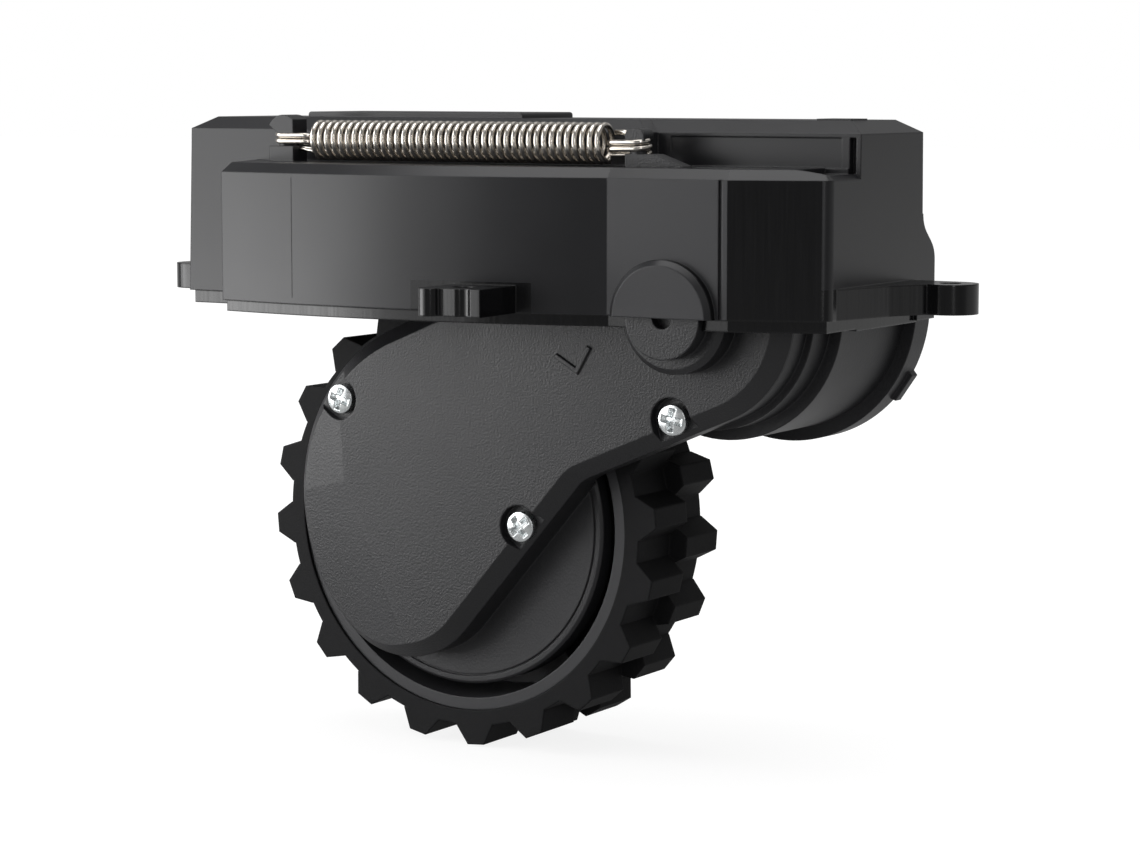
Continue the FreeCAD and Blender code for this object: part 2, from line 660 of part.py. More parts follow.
def front_ear():
    """The ear on the front wall: a lobe at its left, then a nick and a scallop in its front edge."""
    plan = outline("front_ear_outline", [
        ("-ear_lobe_x", "-ear_reach"),
        ("ear_right", "-ear_reach"),
        ("ear_right - ear_taper", "tray_front + wall / 2"),
        ("-ear_left", "tray_front + wall / 2"),
        ("-ear_left", "-ear_lobe_y"),
    ])
    plate = extrude("front_ear_plate", plan, "0", "ear_thick")
    lobe = cylinder("front_ear_lobe", "-ear_lobe_x", "-ear_lobe_y", "0", "ear_lobe_r", "ear_thick", "z")
    nick = cylinder("front_ear_nick", "-ear_nick_x", "-ear_reach", "-wall", "ear_nick_r",
                    "ear_thick + 2 * wall", "z")
    scallop = cylinder("front_ear_scallop", "scallop_x", "-scallop_y", "-wall", "scallop_r",
                       "ear_thick + 2 * wall", "z")
    return cut("front_ear_solid", fuse("front_ear_blank", plate, lobe), nick, scallop)


def right_ear():
    """The ear on the right wall: a long web that widens towards its round end."""
    web = extrude("right_ear_web", outline("right_ear_outline", [
        ("block_right - wall / 2", "right_web_front"),
        ("block_right", "right_web_front"),
        ("block_right + right_web_out", "right_web_mid"),
        ("block_right + right_web_end", "right_ear_y - ear_boss_r + wall / 8"),
        ("right_ear_x", "right_ear_y - ear_boss_r"),
        ("right_ear_x", "right_ear_y + ear_boss_r"),
        ("block_right - wall / 2", "right_ear_y + ear_boss_r"),
    ]), "0", "right_ear_thick")
    end = cylinder("right_ear_end", "right_ear_x", "right_ear_y", "0", "ear_boss_r", "right_ear_thick", "z")
    return fuse("right_ear_solid", web, end)


def left_ear():
    """The ear on the left wall."""
    end = cylinder("left_ear_end", "-left_ear_x", "left_ear_y", "0", "ear_boss_r", "ear_thick", "z")
    web = box("left_ear_web", "-left_ear_x", "left_ear_y - ear_boss_r", "0",
              "left_ear_x - block_left + wall / 2", "2 * ear_boss_r", "ear_thick")
    return fuse("left_ear_solid", end, web)


def left_post():
    """The spring's fixed post on the tray roof: a base, a thin neck and a rounded head with an overhang."""
    base = box("post_base", "-left_post_x - post_width / 2", "spring_y - post_depth / 2",
               "tray_top - wall / 2", "post_width", "post_depth", POST_Z + " - tray_top + wall / 2")
    neck = cylinder("post_neck", "-left_post_x", "spring_y", POST_Z, "neck_r", "neck_high", "z")
    line = outline("post_head_outline", [
        ("-left_post_x - post_width / 2 + head_under", HEAD_Z),
        ("-left_post_x + post_width / 2", HEAD_Z),
        ("-left_post_x + post_width / 2", HEAD_Z + " + head_side", "head_bow"),
        ("-left_post_x - post_width / 2", HEAD_Z + " + head_beak"),
    ], front=True)
    head = extrude("post_head", line, "spring_y - post_depth / 2", "spring_y + post_depth / 2", (0, 1, 0))
    return fuse("left_post_solid", base, neck, head)


def axle_point():
    """The wheel axle in the plane of the module's side view."""
    return size("pivot_x") - size("arm_reach"), -size("arm_drop")


def arm_outline(set_in, level):
    """The gearbox outline, set in all round, as a wire in the plane at this Y."""
    ax, az = axle_point()
    px, pz = size("pivot_x"), 0.0
    cx, cz = ax + size("big_dx"), az + size("big_dz")
    r1, r2, r3 = (size(n) - set_in for n in ("big_r", "small_r", "bottom_r"))
    kx, kz = ax + size("knee_dx"), az + size("knee_dz")
    steep = math.radians(size("steep_deg"))
    steep_n = (math.sin(steep), -math.cos(steep))
    steep_c = steep_n[0] * kx + steep_n[1] * kz - set_in
    reach = math.hypot(px - kx, pz - kz)
    low = math.atan2(pz - kz, px - kx) - math.asin(size("small_r") / reach)
    low_n = (math.sin(low), -math.cos(low))
    low_c = low_n[0] * px + low_n[1] * pz + r2
    # The upper tangent of the two round ends.
    span = math.hypot(px - cx, pz - cz)
    upper = math.atan2(pz - cz, px - cx) + math.acos((r1 - r2) / span)
    # The lower corner's circle touches the big one inside and the steep line.
    turn = (steep_c - r3 - (steep_n[0] * cx + steep_n[1] * cz)) / (r1 - r3)
    down = math.atan2(steep_n[1], steep_n[0]) - math.acos(turn)
    bx, bz = cx + (r1 - r3) * math.cos(down), cz + (r1 - r3) * math.sin(down)
    # The bend where the steep line meets the flatter one.
    det = steep_n[0] * low_n[1] - steep_n[1] * low_n[0]
    corner_x = (steep_c * low_n[1] - low_c * steep_n[1]) / det
    corner_z = (steep_n[0] * low_c - low_n[0] * steep_c) / det
    cut_back = (size("knee_r") + set_in) * math.tan((steep - low) / 2)

    def at(x, z):
        return Vector(x, level, z)

    def on(x, z, radius, angle):
        return at(x + radius * math.cos(angle), z + radius * math.sin(angle))

    steep_at = math.atan2(steep_n[1], steep_n[0])
    low_at = math.atan2(low_n[1], low_n[0])
    a, b = on(px, pz, r2, low_at), on(px, pz, r2, upper)
    c, d = on(cx, cz, r1, upper), on(cx, cz, r1, down)
    e = on(bx, bz, r3, steep_at)
    f = at(corner_x - cut_back * math.cos(steep), corner_z - cut_back * math.sin(steep))
    g = at(corner_x + cut_back * math.cos(low), corner_z + cut_back * math.sin(low))
    mid = (steep + low) / 2
    bend = (size("knee_r") + set_in) / math.cos((steep - low) / 2)
    knee = Vector(corner_x + math.sin(mid) * bend, level, corner_z - math.cos(mid) * bend)
    on_knee = knee + Vector(-math.sin(mid), 0, math.cos(mid)) * (size("knee_r") + set_in)
    edges = [
        Part.Arc(a, on(px, pz, r2, (low_at + upper) / 2), b).toShape(),
        Part.makeLine(b, c),
        Part.Arc(c, on(cx, cz, r1, (upper + down + 2 * math.pi) / 2), d).toShape(),
        Part.Arc(d, on(bx, bz, r3, (down + steep_at) / 2), e).toShape(),
        Part.makeLine(e, f),
        Part.Arc(f, on_knee, g).toShape(),
        Part.makeLine(g, a),
    ]
    return Part.Wire(edges)


def arm_prism(set_in, front, back):
    """A solid of the gearbox outline between two levels of Y."""
    return Part.Face(arm_outline(set_in, front)).extrude(Vector(0, back - front, 0))


def round_bar(x, y, z, radius, long):
    """A plain cylinder along Y."""
    return Part.makeCylinder(radius, long, Vector(x, y, z), Vector(0, 1, 0))


def screw_spots():
    """The three cover screws, each with the way its recess opens."""
    ax, az = axle_point()
    square_out = size("steep_deg") - 90
    return [
        (ax - size("left_screw_dx"), az + size("left_screw_dz"), math.radians(size("left_screw_deg"))),
        (ax + size("mid_screw_dx"), az + size("mid_screw_dz"), math.radians(square_out)),
        (size("pivot_x") - size("right_screw_dx"), -size("right_screw_dz"),
         math.radians(size("right_screw_deg"))),
    ]


def module(name):
    """A gear module: the whole train is cut to fill the span from pivot to axle."""
    return size(name) * math.hypot(size("arm_reach"), size("arm_drop")) / size("train_span")


def third_direction():
    """The direction from the axle to the third gear's pin."""
    return math.atan2(size("arm_drop"), size("arm_reach")) + math.radians(size("third_turn_deg"))


def gear_centres():
    """The three gear pins between the pivot and the axle."""
    ax, az = axle_point()
    near = module("fine_module") * (size("pinion_teeth") + size("first_teeth")) / 2
    far = module("coarse_module") * (size("third_small") + size("output_teeth")) / 2
    one = math.atan2(-size("arm_drop"), -size("arm_reach")) - math.radians(size("first_turn_deg"))
    three = third_direction()
    first = (size("pivot_x") + near * math.cos(one), near * math.sin(one))
    third = (ax + far * math.cos(three), az + far * math.sin(three))
    to_first = module("mid_module") * (size("first_small") + size("second_teeth")) / 2
    to_third = module("mid_module") * (size("second_small") + size("third_teeth")) / 2
    dx, dz = third[0] - first[0], third[1] - first[1]
    gap = math.hypot(dx, dz)
    part = (to_first ** 2 - to_third ** 2 + gap ** 2) / (2 * gap)
    side = math.sqrt(to_first ** 2 - part ** 2)
    second = (first[0] + (part * dx - side * dz) / gap, first[1] + (part * dz + side * dx) / gap)
    return first, second, third


def disc_screw_spots():
    """The screws that hold the disc's cover."""
    ax, az = axle_point()
    spots = []
    for degrees in DISC_SCREW_DEGS:
        a = third_direction() + math.radians(degrees)
        spots.append((ax + size("disc_screw_r") * math.cos(a), az + size("disc_screw_r") * math.sin(a)))
    return spots


def build_case():
    """The gearbox case with the disc inside the wheel and the motor drum."""
    ax, az = axle_point()
    px = size("pivot_x")
    split, back, floor = number_of(SPLIT), number_of(PLATE_BACK), number_of(FLOOR)
    disc, room_front = number_of("wheel_y + disc_set"), number_of(DISC_ROOM)
    disc_back = number_of(DISC_BACK)
    drum_front, drum_rear = number_of("wheel_y + drum_front"), number_of(DRUM_REAR)
    motor = number_of(MOTOR_FACE)
    disc_r, drum_r, shoulder_r = number_of(DISC_R), number_of(DRUM_R), number_of(SHOULDER_R)
    outer = arm_prism(0, split, back)
    neck = round_bar(ax, back, az, disc_r, disc - back).common(arm_prism(0, back, disc))
    edge = size("disc_edge")
    body = outer.fuse([
        neck,
        Part.makeCone(disc_r - edge, disc_r, edge, Vector(ax, disc, az), Vector(0, 1, 0)),
        round_bar(ax, disc + edge, az, disc_r, disc_back - disc - edge),
        round_bar(px, back, 0, shoulder_r, drum_front - back),
        round_bar(px, drum_front, 0, drum_r, drum_rear - drum_front),
    ])
    line_r = disc_r - size("disc_line_in")
    groove = round_bar(ax, disc, az, line_r, size("disc_line")).cut(
        round_bar(ax, disc, az, line_r - size("disc_line"), size("disc_line")))
    groove = groove.cut(arm_prism(0, back, disc + size("disc_line")))
    room = arm_prism(size("case_wall"), split, floor)
    drum_in = drum_r - size("drum_wall")
    first, second, third = gear_centres()
    reach = module("coarse_module") * (size("third_small") / 2 + 1) + size("side_gap")
    disc_room = round_bar(ax, room_front, az, disc_r - size("case_wall"), disc_back - room_front)
    pads = [round_bar(x, room_front, z, size("screw_r") * 2, disc_back - room_front)
            for x, z in disc_screw_spots()]
    tools = [
        groove,
        disc_room.cut(pads),
        round_bar(px, motor, 0, shoulder_r - size("drum_wall") + size("fit_gap"), drum_rear - motor),
        round_bar(px, drum_front + size("drum_wall"), 0, drum_in, drum_rear - drum_front),
        round_bar(px, floor, 0, size("shaft_r") * 4, motor - floor),
        round_bar(ax, floor, az, size("bush_r"), room_front - floor),
        round_bar(third[0], floor, third[1], reach, room_front - floor),
    ]
    posts = []
    for x, z, _ in screw_spots():
        posts.append(round_bar(x, split, z, size("screw_r") * 2, floor - split))
    body = body.cut(room).fuse(posts).common(body).cut(tools)
    holes = []
    for x, z, _ in screw_spots():
        holes.append(round_bar(x, split, z, size("screw_r"), size("screw_long")))
    for x, z in disc_screw_spots():
        holes.append(round_bar(x, room_front, z, size("screw_r"), disc_back - room_front))
    for x, z in (first, second):
        holes.append(round_bar(x, floor, z, size("gear_pin_r"), size("case_floor") / 2))
    for side in (-1, 1):
        x = px + side * number_of(CAN_R) * size("tap_share")
        holes.append(round_bar(x, floor, 0, size("screw_r"), motor - floor))
    finish(feature("case_solid", body.cut(holes).removeSplitter()), "gearbox_case")


def build_disc_cover():
    """The cover at the back of the disc, with the axle's rear bearing boss, and its screws."""
    ax, az = axle_point()
    disc_back, disc_end, boss_end = number_of(DISC_BACK), number_of(DISC_END), number_of(BOSS_END)
    body = round_bar(ax, disc_back, az, number_of(DISC_R), disc_end - disc_back)
    body = body.fuse(round_bar(ax, disc_end, az, size("bush_boss_r"), boss_end - disc_end))
    x3, z3 = gear_centres()[2]
    holes = [round_bar(ax, disc_back, az, size("axle_r") + size("side_gap"), boss_end - disc_back),
             round_bar(ax, number_of(REAR_BUSH), az, size("bush_r"), size("bush_long")),
             round_bar(x3, disc_back, z3, size("gear_pin_r"), size("disc_cover") / 2)]
    for x, z in disc_screw_spots():
        holes.append(round_bar(x, disc_back, z, size("screw_r") + size("fit_gap"), disc_end - disc_back))
    finish(feature("disc_cover_solid", body.cut(holes)), "disc_cover")
    screws = []
    for i, (x, z) in enumerate(disc_screw_spots()):
        shank = cylinder("disc_screw_shank_%d" % i, "0", DISC_ROOM, "0", "screw_r",
                         DISC_END + " - " + DISC_ROOM)
        head = cone("disc_screw_head_%d" % i, "0", DISC_END, "0", "screw_head_r",
                    "screw_head_r * head_flat", "screw_head_high")
        for piece in (shank, head):
            set_aside(piece, x, z)
        screws.append(fuse("disc_screw_%d" % i, shank, head))
    finish(fuse("disc_screws_solid", *screws), "disc_cover_screws")


def build_cover():
    """The gearbox cover with the pivot boss and pin, the screw recesses and the spring lever."""
    ax, az = axle_point()
    px = size("pivot_x")
    face, split = number_of(FACE), number_of(SPLIT)
    plate = arm_prism(0, face, split)
    along = math.atan2(-az, px - ax)
    edges = []
    for edge in plate.Edges:
        centre = edge.CenterOfMass
        side = (centre.z - az) * math.cos(along) - (centre.x - ax) * math.sin(along)
        low = side < -size("knee_r") and math.hypot(centre.x - px, centre.z) > size("small_r")
        flat = edge.BoundBox.YLength < NEAR and abs(centre.y - face) < NEAR
        if flat and low and centre.x > ax - size("bottom_r"):
            edges.append(edge)
    plate = plate.makeChamfer(size("cover_bevel"), edges)
    body = plate.cut(facet_wedges(face))
    inner = arm_prism(size("case_wall"), face + size("cover_skin"), split)
    lip = split - face - size("cover_skin")
    rings = []
    for x, z, opening in screw_spots():
        rings.append(round_bar(x, face + size("cover_skin"), z, size("recess_r") + size("case_wall"), lip))
        reach = Part.makeBox(size("big_r") / 3, lip, 2 * (size("recess_r") + size("case_wall")))
        reach.translate(Vector(0, face + size("cover_skin"), -size("recess_r") - size("case_wall")))
        reach.rotate(Vector(), Vector(0, 1, 0), -math.degrees(opening))
        reach.translate(Vector(x, 0, z))
        rings.append(reach)
    inner = inner.cut(rings).cut(facet_wedges(face + size("cover_skin")))
    body = body.cut(inner)
    recess_floor, clear = split - size("recess_floor"), size("wall")
    tools = []
    for x, z, opening in screw_spots():
        tools.append(round_bar(x, face - clear, z, size("recess_r"), recess_floor - face + clear))
        reach = Part.makeBox(size("big_r") / 2, recess_floor - face + clear, 2 * size("recess_r"))
        reach.translate(Vector(0, face - clear, -size("recess_r")))
        reach.rotate(Vector(), Vector(0, 1, 0), -math.degrees(opening))
        reach.translate(Vector(x, 0, z))
        tools.append(reach)
        tools.append(round_bar(x, face, z, size("screw_r") + size("fit_gap"), split - face))
    body = body.cut(tools)
    boss_front, pin_front = number_of(BOSS_FRONT), number_of(PIN_FRONT)
    edge = size("boss_edge")
    boss = round_bar(px, boss_front + edge, 0, size("boss_r"),
                     face - boss_front - edge + size("cover_skin"))
    boss = boss.fuse(Part.makeCone(size("boss_r") - edge, size("boss_r"), edge, Vector(px, boss_front, 0),
                                   Vector(0, 1, 0)))
    pin = round_bar(px, pin_front, 0, size("pin_r"), boss_front - pin_front)
    dimple = round_bar(px, pin_front, 0, size("pin_dimple_r"), size("pin_dimple_r"))
    body = body.fuse([boss, pin, lever()]).cut(dimple)
    sockets = [round_bar(x, face + size("cover_skin") / 2, z, size("gear_pin_r"), size("cover_skin"))
               for x, z in gear_centres()]
    finish(feature("cover_solid", body.cut(sockets).removeSplitter()), "gearbox_cover")


def facet_wedges(level):
    """What the cover's two sloping left facets take off a plate whose face is at this level."""
    ax, az = axle_point()
    top = Vector(ax - size("facet_top_dx"), level, az + size("facet_top_dz"))
    bend = Vector(ax - size("facet_bend_dx"), level, az + size("facet_bend_dz"))
    low = Vector(ax - size("facet_low_dx"), level, az - size("facet_low_dz"))
    return [facet_wedge(top, bend), facet_wedge(bend, low)]


def facet_wedge(top, low):
    """A wedge to the left of a line in the face, deeper the further it is from the line."""
    line = (low - top).normalize()
    out = Vector(line.z, 0, -line.x)
    if out.x > 0:
        out = out * -1
    far, over = size("big_r"), Vector(0, -size("wall"), 0)
    start = top - line * far
    outer = start + out * far
    deep = outer + Vector(0, size("facet_drop") * far / size("facet_run"), 0)
    wedge = Part.Face(Part.makePolygon([start, deep, outer + over, start + over, start]))
    return wedge.extrude(line * 4 * far)


def lever():
    """The spring lever: an arm from the pivot end up through the housing's slot, with its post."""
    px = size("pivot_x")
    x = px - size("lever_left")
    half, deep = size("lever_width") / 2, size("lever_depth")
    y = number_of(SPLIT) - deep
    neck_low, head_low = number_of(POST_Z + " - lever_sink"), number_of(HEAD_Z + " - lever_sink")
    root = size("small_r") * size("lever_foot")
    points = [(x - half, root), (px + size("lever_out"), root),
              (px + size("lever_out") / 2, size("small_r")),
              (px - size("lever_knee_x"), size("lever_knee_z")),
              (x + half + size("lever_shelf"), neck_low), (x - half, neck_low), (x - half, root)]
    plate = Part.Face(Part.makePolygon([Vector(u, y, w) for u, w in points])).extrude(Vector(0, deep, 0))
    neck = Part.makeCylinder(size("neck_r"), size("neck_high"), Vector(x, y + deep / 2, neck_low))
    head = Part.makeBox(2 * half, deep, size("lever_head"), Vector(x - half, y, head_low))
    ends = [e for e in head.Edges if e.BoundBox.YLength > deep / 2 and e.CenterOfMass.z > head_low + NEAR]
    return plate.fuse([neck, head.makeFillet(size("lever_head") * size("lever_round"), ends)])


def gear_face(x, z, teeth, tooth_size, aim, tooth_there, level):
    """A toothed outline. A tooth, or a gap, points along the angle aim."""
    pitch = 2 * math.pi / teeth
    first = aim if tooth_there else aim + pitch / 2
    radius = teeth * tooth_size / 2
    tip, root = radius + TOOTH_TIP * tooth_size, radius - TOOTH_ROOT * tooth_size
    half_tip, half_root = TIP_HALF * pitch, ROOT_HALF * pitch
    points = []
    for i in range(int(teeth)):
        middle = first + i * pitch
        for r, turn in ((root, -half_root), (tip, -half_tip), (tip, half_tip), (root, half_root)):
            points.append(Vector(x + r * math.cos(middle + turn), level, z + r * math.sin(middle + turn)))
    return Part.Face(Part.makePolygon(points + points[:1]))


def gear(x, z, teeth, tooth_size, aim, tooth_there, level):
    """A spur gear of the set's face width."""
    face = gear_face(x, z, teeth, tooth_size, aim, tooth_there, level)
    return face.extrude(Vector(0, size("gear_thick"), 0))


def set_aside(piece, x, z):
    """Move a turned piece to its place in the side view, which the gear train sets."""
    piece.setExpression(".Placement.Base.x", None)
    piece.setExpression(".Placement.Base.z", None)
    piece.Placement = Placement(Vector(x, piece.Placement.Base.y, z), ALONG["y"])


def build_gears():
    """The train from the motor to the wheel, in mesh, with its fixed pins."""
    ax, az = axle_point()
    px = size("pivot_x")
    (x1, z1), (x2, z2), (x3, z3) = gear_centres()
    rear, front, disc = number_of(REAR_LAYER), number_of(FRONT_LAYER), number_of(DISC_LAYER)
    thick, gap, pin_r = size("gear_thick"), size("gear_gap"), size("gear_pin_r")
    fine, mid, coarse = module("fine_module"), module("mid_module"), module("coarse_module")
    to_first = math.atan2(z1, x1 - px)
    to_second = math.atan2(z2 - z1, x2 - x1)
    to_third = math.atan2(z3 - z2, x3 - x2)
    to_axle = math.atan2(az - z3, ax - x3)
    pinion = gear(px, 0, size("pinion_teeth"), fine, to_first, True, rear)
    bore = round_bar(px, rear, 0, size("shaft_r"), thick)
    finish(feature("pinion_solid", pinion.cut(bore)), "motor_pinion")
    hole = pin_r + size("fit_gap")
    first = gear(x1, z1, size("first_teeth"), fine, to_first + math.pi, False, rear)
    first = first.fuse([gear(x1, z1, size("first_small"), mid, to_second, True, front),
                        round_bar(x1, front + thick, z1, pin_r * 2, gap)])
    bore = round_bar(x1, front, z1, hole, rear + thick - front)
    finish(feature("first_gear_solid", first.cut(bore)), "first_gear")
    second = gear(x2, z2, size("second_teeth"), mid, to_second + math.pi, False, front)
    second = second.fuse([gear(x2, z2, size("second_small"), mid, to_third, True, rear),
                          round_bar(x2, front + thick, z2, pin_r * 2, gap)])
    bore = round_bar(x2, front, z2, hole, rear + thick - front)
    finish(feature("second_gear_solid", second.cut(bore)), "second_gear")
    third = gear(x3, z3, size("third_teeth"), mid, to_third + math.pi, False, rear)
    third = third.fuse([gear(x3, z3, size("third_small"), coarse, to_axle, True, disc),
                        round_bar(x3, rear + thick, z3, pin_r * 3, disc - rear - thick)])
    bore = round_bar(x3, rear, z3, hole, disc + thick - rear)
    finish(feature("third_gear_solid", third.cut(bore)), "third_gear")
    output = gear(ax, az, size("output_teeth"), coarse, to_axle + math.pi, False, disc)
    bore = round_bar(ax, disc, az, size("axle_r"), thick)
    finish(feature("output_gear_solid", output.cut(bore)), "output_gear")
    ends = (FLOOR + " + case_floor / 2", FLOOR + " + case_floor / 2", DISC_BACK + " + disc_cover / 2")
    for name, (x, z), end in zip(("first", "second", "third"), gear_centres(), ends):
        pin = cylinder(name + "_pin_solid", "0", FACE + " + cover_skin / 2", "0", "gear_pin_r",
                       end + " - " + FACE + " - cover_skin / 2")
        set_aside(pin, x, z)
        finish(pin, name + "_gear_pin")


def build_axle():
    """The wheel axle, its two bushes, and the screw and washer that hold the wheel."""
    start = FLOOR
    end = "(wheel_y + wheel_w - web_back)"
    axle = cylinder("axle_bar", AXLE_X, start, AXLE_Z, "axle_r", end + " - " + start)
    tapped = cylinder("axle_tap", AXLE_X, end + " - screw_long * 2", AXLE_Z, "screw_r", "screw_long * 2")
    finish(cut("axle_solid", axle, tapped), "wheel_axle")
    for name, y in (("front", FLOOR), ("rear", REAR_BUSH)):
        outer = cylinder(name + "_bush_outer", AXLE_X, y, AXLE_Z, "bush_r", "bush_long")
        bore = cylinder(name + "_bush_bore", AXLE_X, y, AXLE_Z, "axle_r + fit_gap", "bush_long")
        finish(cut(name + "_bush_solid", outer, bore), name + "_axle_bush")
    washer = cylinder("washer_disc", AXLE_X, end, AXLE_Z, "hub_r * washer_share", "wall / 2")
    hole = cylinder("washer_hole", AXLE_X, end, AXLE_Z, "screw_r + fit_gap", "wall / 2")
    finish(cut("washer_solid", washer, hole), "wheel_washer")
    shank = cylinder("wheel_screw_shank", AXLE_X, end + " - screw_long * 1.5", AXLE_Z, "screw_r",
                     "screw_long * 1.5 + wall / 2")
    head = cone("wheel_screw_head", AXLE_X, end + " + wall / 2", AXLE_Z, "screw_head_r",
                "screw_head_r * head_flat", "screw_head_high")
    finish(fuse("wheel_screw_solid", shank, head), "wheel_screw")


def body_profile(body, name, plane, points):
    """A closed sketch of straight lines on one of a body's own planes."""
    sketch = body.newObject("Sketcher::SketchObject", name)
    origin = [f for f in body.Origin.OriginFeatures if f.Role == plane][0]
    sketch.AttachmentSupport = [(origin, "")]
    sketch.MapMode = "FlatFace"
    spots = [Vector(number_of(u), number_of(v), 0) for u, v in points]
    for i in range(len(spots)):
        sketch.addGeometry(Part.LineSegment(spots[i], spots[(i + 1) % len(spots)]))
    constrain(sketch, points, spots)
    return sketch


def revolved(body, name, points):
    """Turn a profile of radius and height about the body's own upright axis."""
    sketch = body_profile(body, name + "_profile", "XZ_Plane", points)
    turn = body.newObject("PartDesign::Revolution", name)
    turn.Profile = sketch
    turn.ReferenceAxis = (sketch, ["V_Axis"])
    turn.Angle = 360
    return turn


def padded(body, name, points, long, level):
    """Pad a profile of the body's base plane upward from a level."""
    sketch = body_profile(body, name + "_profile", "XY_Plane", points)
    bind(sketch, ".AttachmentOffset.Base.z", level)
    pad = body.newObject("PartDesign::Pad", name)
    pad.Profile = sketch
    bind(pad, "Length", long)
    return pad


def patterned(body, name, feature_made, count):
    """Repeat a feature evenly round the body's upright axis."""
    pattern = body.newObject("PartDesign::PolarPattern", name)
    pattern.Originals = [feature_made]
    axis = [f for f in body.Origin.OriginFeatures if f.Role == "Z_Axis"][0]
    pattern.Axis = (axis, [""])
    pattern.Angle = 360
    bind(pattern, "Occurrences", count)
    body.Tip = pattern
    return pattern


def new_body(name, x, y, z):
    """A body whose own Z is the module's Y."""
    body = doc.addObject("PartDesign::Body", name)
    place(body, x, y, z, "y")
    return body


def build_tyre():
    """The rubber tyre: a plain band with two staggered rows of tapered lugs."""
    body = new_body("tyre_body", AXLE_X, "wheel_y", AXLE_Z)
    root = "(wheel_r - lug_high)"
    revolved(body, "band", [(RIM_R, "0"), (root, "0"), (root, "wheel_w"), (RIM_R, "wheel_w")])
    rows = (("front", "0", "lug_first_deg"), ("rear", "wheel_w / 2", "lug_first_deg + 180 / lug_count"))
    for row, level, turn in rows:
        sink = "(wheel_r - lug_high - lug_high / 4)"
        points = [(sink, "-lug_root / 2"), (root, "-lug_root / 2"), ("wheel_r", "-lug_top / 2"),
                  ("wheel_r", "lug_top / 2"), (root, "lug_root / 2"), (sink, "lug_root / 2")]
        pad = padded(body, row + "_lug", points, "wheel_w / 2", level)
        bind(pad.Profile[0], ".AttachmentOffset.Rotation.Angle", "-(" + turn + ")")
        patterned(body, row + "_lugs", pad, "lug_count")
    finish(body, "tyre")


def build_hub():
    """The wheel: a rim, a ribbed web near the outer side and a hub on the axle."""
    body = new_body("hub_body", AXLE_X, "wheel_y", AXLE_Z)
    web_out = "(wheel_w - web_back)"
    web_in = "(wheel_w - web_back - web_thick)"
    hub_in = "(" + BOSS_END + " - wheel_y + hub_gap)"
    inner = "(" + RIM_R + " - rim_wall)"
    revolved(body, "wheel_section", [
        ("axle_r", hub_in), ("hub_r", hub_in), ("hub_r", web_in), (inner, web_in), (inner, "rim_set"),
        (RIM_R, "rim_set"), (RIM_R, "wheel_w - rim_set"), (inner, "wheel_w - rim_set"),
        (inner, web_out), ("axle_r", web_out)])
    points = [("hub_r - rim_wall / 2", "-rib_thick / 2"), (inner + " + rim_wall / 2", "-rib_thick / 2"),
              (inner + " + rim_wall / 2", "rib_thick / 2"), ("hub_r - rim_wall / 2", "rib_thick / 2")]
    rib = padded(body, "web_rib", points, "rib_deep", web_in + " - rib_deep")
    patterned(body, "web_ribs", rib, "rib_count")
    finish(body, "wheel_hub")


def build_motor():
    """The motor inside the drum, its pinion shaft and screws, and the rear cap with its screws."""
    can = cylinder("can_round", "pivot_x", MOTOR_FACE, "0", CAN_R, "can_long")
    nose = cylinder("can_bore", "pivot_x", MOTOR_FACE, "0", "shaft_r + fit_gap", "can_long")
    sides = ["pivot_x + %d * tap_share * %s" % (side, CAN_R) for side in (-1, 1)]
    taps = [cylinder("can_tap_%d" % i, x, MOTOR_FACE, "0", "screw_r", "screw_long")
            for i, x in enumerate(sides)]
    finish(cut("can_solid", can, nose, *taps), "motor_can")
    bell = cylinder("bell_round", "pivot_x", BELL, "0", "bell_share * " + CAN_R, "bell_long")
    bore = cylinder("bell_bore", "pivot_x", BELL, "0", "shaft_r + fit_gap", "bell_long / 2")
    finish(cut("bell_solid", bell, bore), "motor_end_bell")
    finish(cylinder("shaft_solid", "pivot_x", REAR_LAYER, "0", "shaft_r",
                    BELL + " + bell_long / 2 - side_gap - " + REAR_LAYER), "motor_shaft")
    screws = []
    for i, x in enumerate(sides):
        head = cylinder("motor_screw_head_%d" % i, x, FLOOR + " - gear_gap", "0", "screw_r * flat_head",
                        "gear_gap")
        shank = cylinder("motor_screw_shank_%d" % i, x, FLOOR, "0", "screw_r",
                         "mount_plate + screw_long - screw_short")
        screws.append(fuse("motor_screw_%d" % i, head, shank))
    finish(fuse("motor_screws_solid", *screws), "motor_screws")


def build_rear_cap():
    """The cap that closes the motor drum: a flange with a spigot, a dished back and a small tab."""
    body = new_body("cap_body", "pivot_x", DRUM_REAR, "0")
    inner = "(" + DRUM_R + " - drum_wall - fit_gap)"
    revolved(body, "cap_section", [
        ("0", "cap_flange - 2 * wall"), (inner + " - wall", "cap_flange - 2 * wall"),
        (inner + " - wall", "-2 * wall"),
        (inner, "-2 * wall"), (inner, "0"), (CAP_R, "0"), (CAP_R, "cap_flange - cap_rear_edge"),
        (CAP_R + " - cap_rear_edge", "cap_flange"), (inner + " - wall", "cap_flange"),
        (inner + " - 2 * wall", "cap_flange - wall"), ("0", "cap_flange - wall")])
    points = [(CAP_R + " - wall", "-tab_half - tab_out"), (CAP_R + " + tab_out", "-tab_half"),
              (CAP_R + " + tab_out", "tab_half"), (CAP_R + " - wall", "tab_half + tab_out")]
    tab = padded(body, "cap_tab", points, "wall", "cap_flange - cap_rear_edge - wall")
    bind(tab.Profile[0], ".AttachmentOffset.Rotation.Angle", "tab_deg")
    body.Tip = tab
    finish(body, "motor_cap")


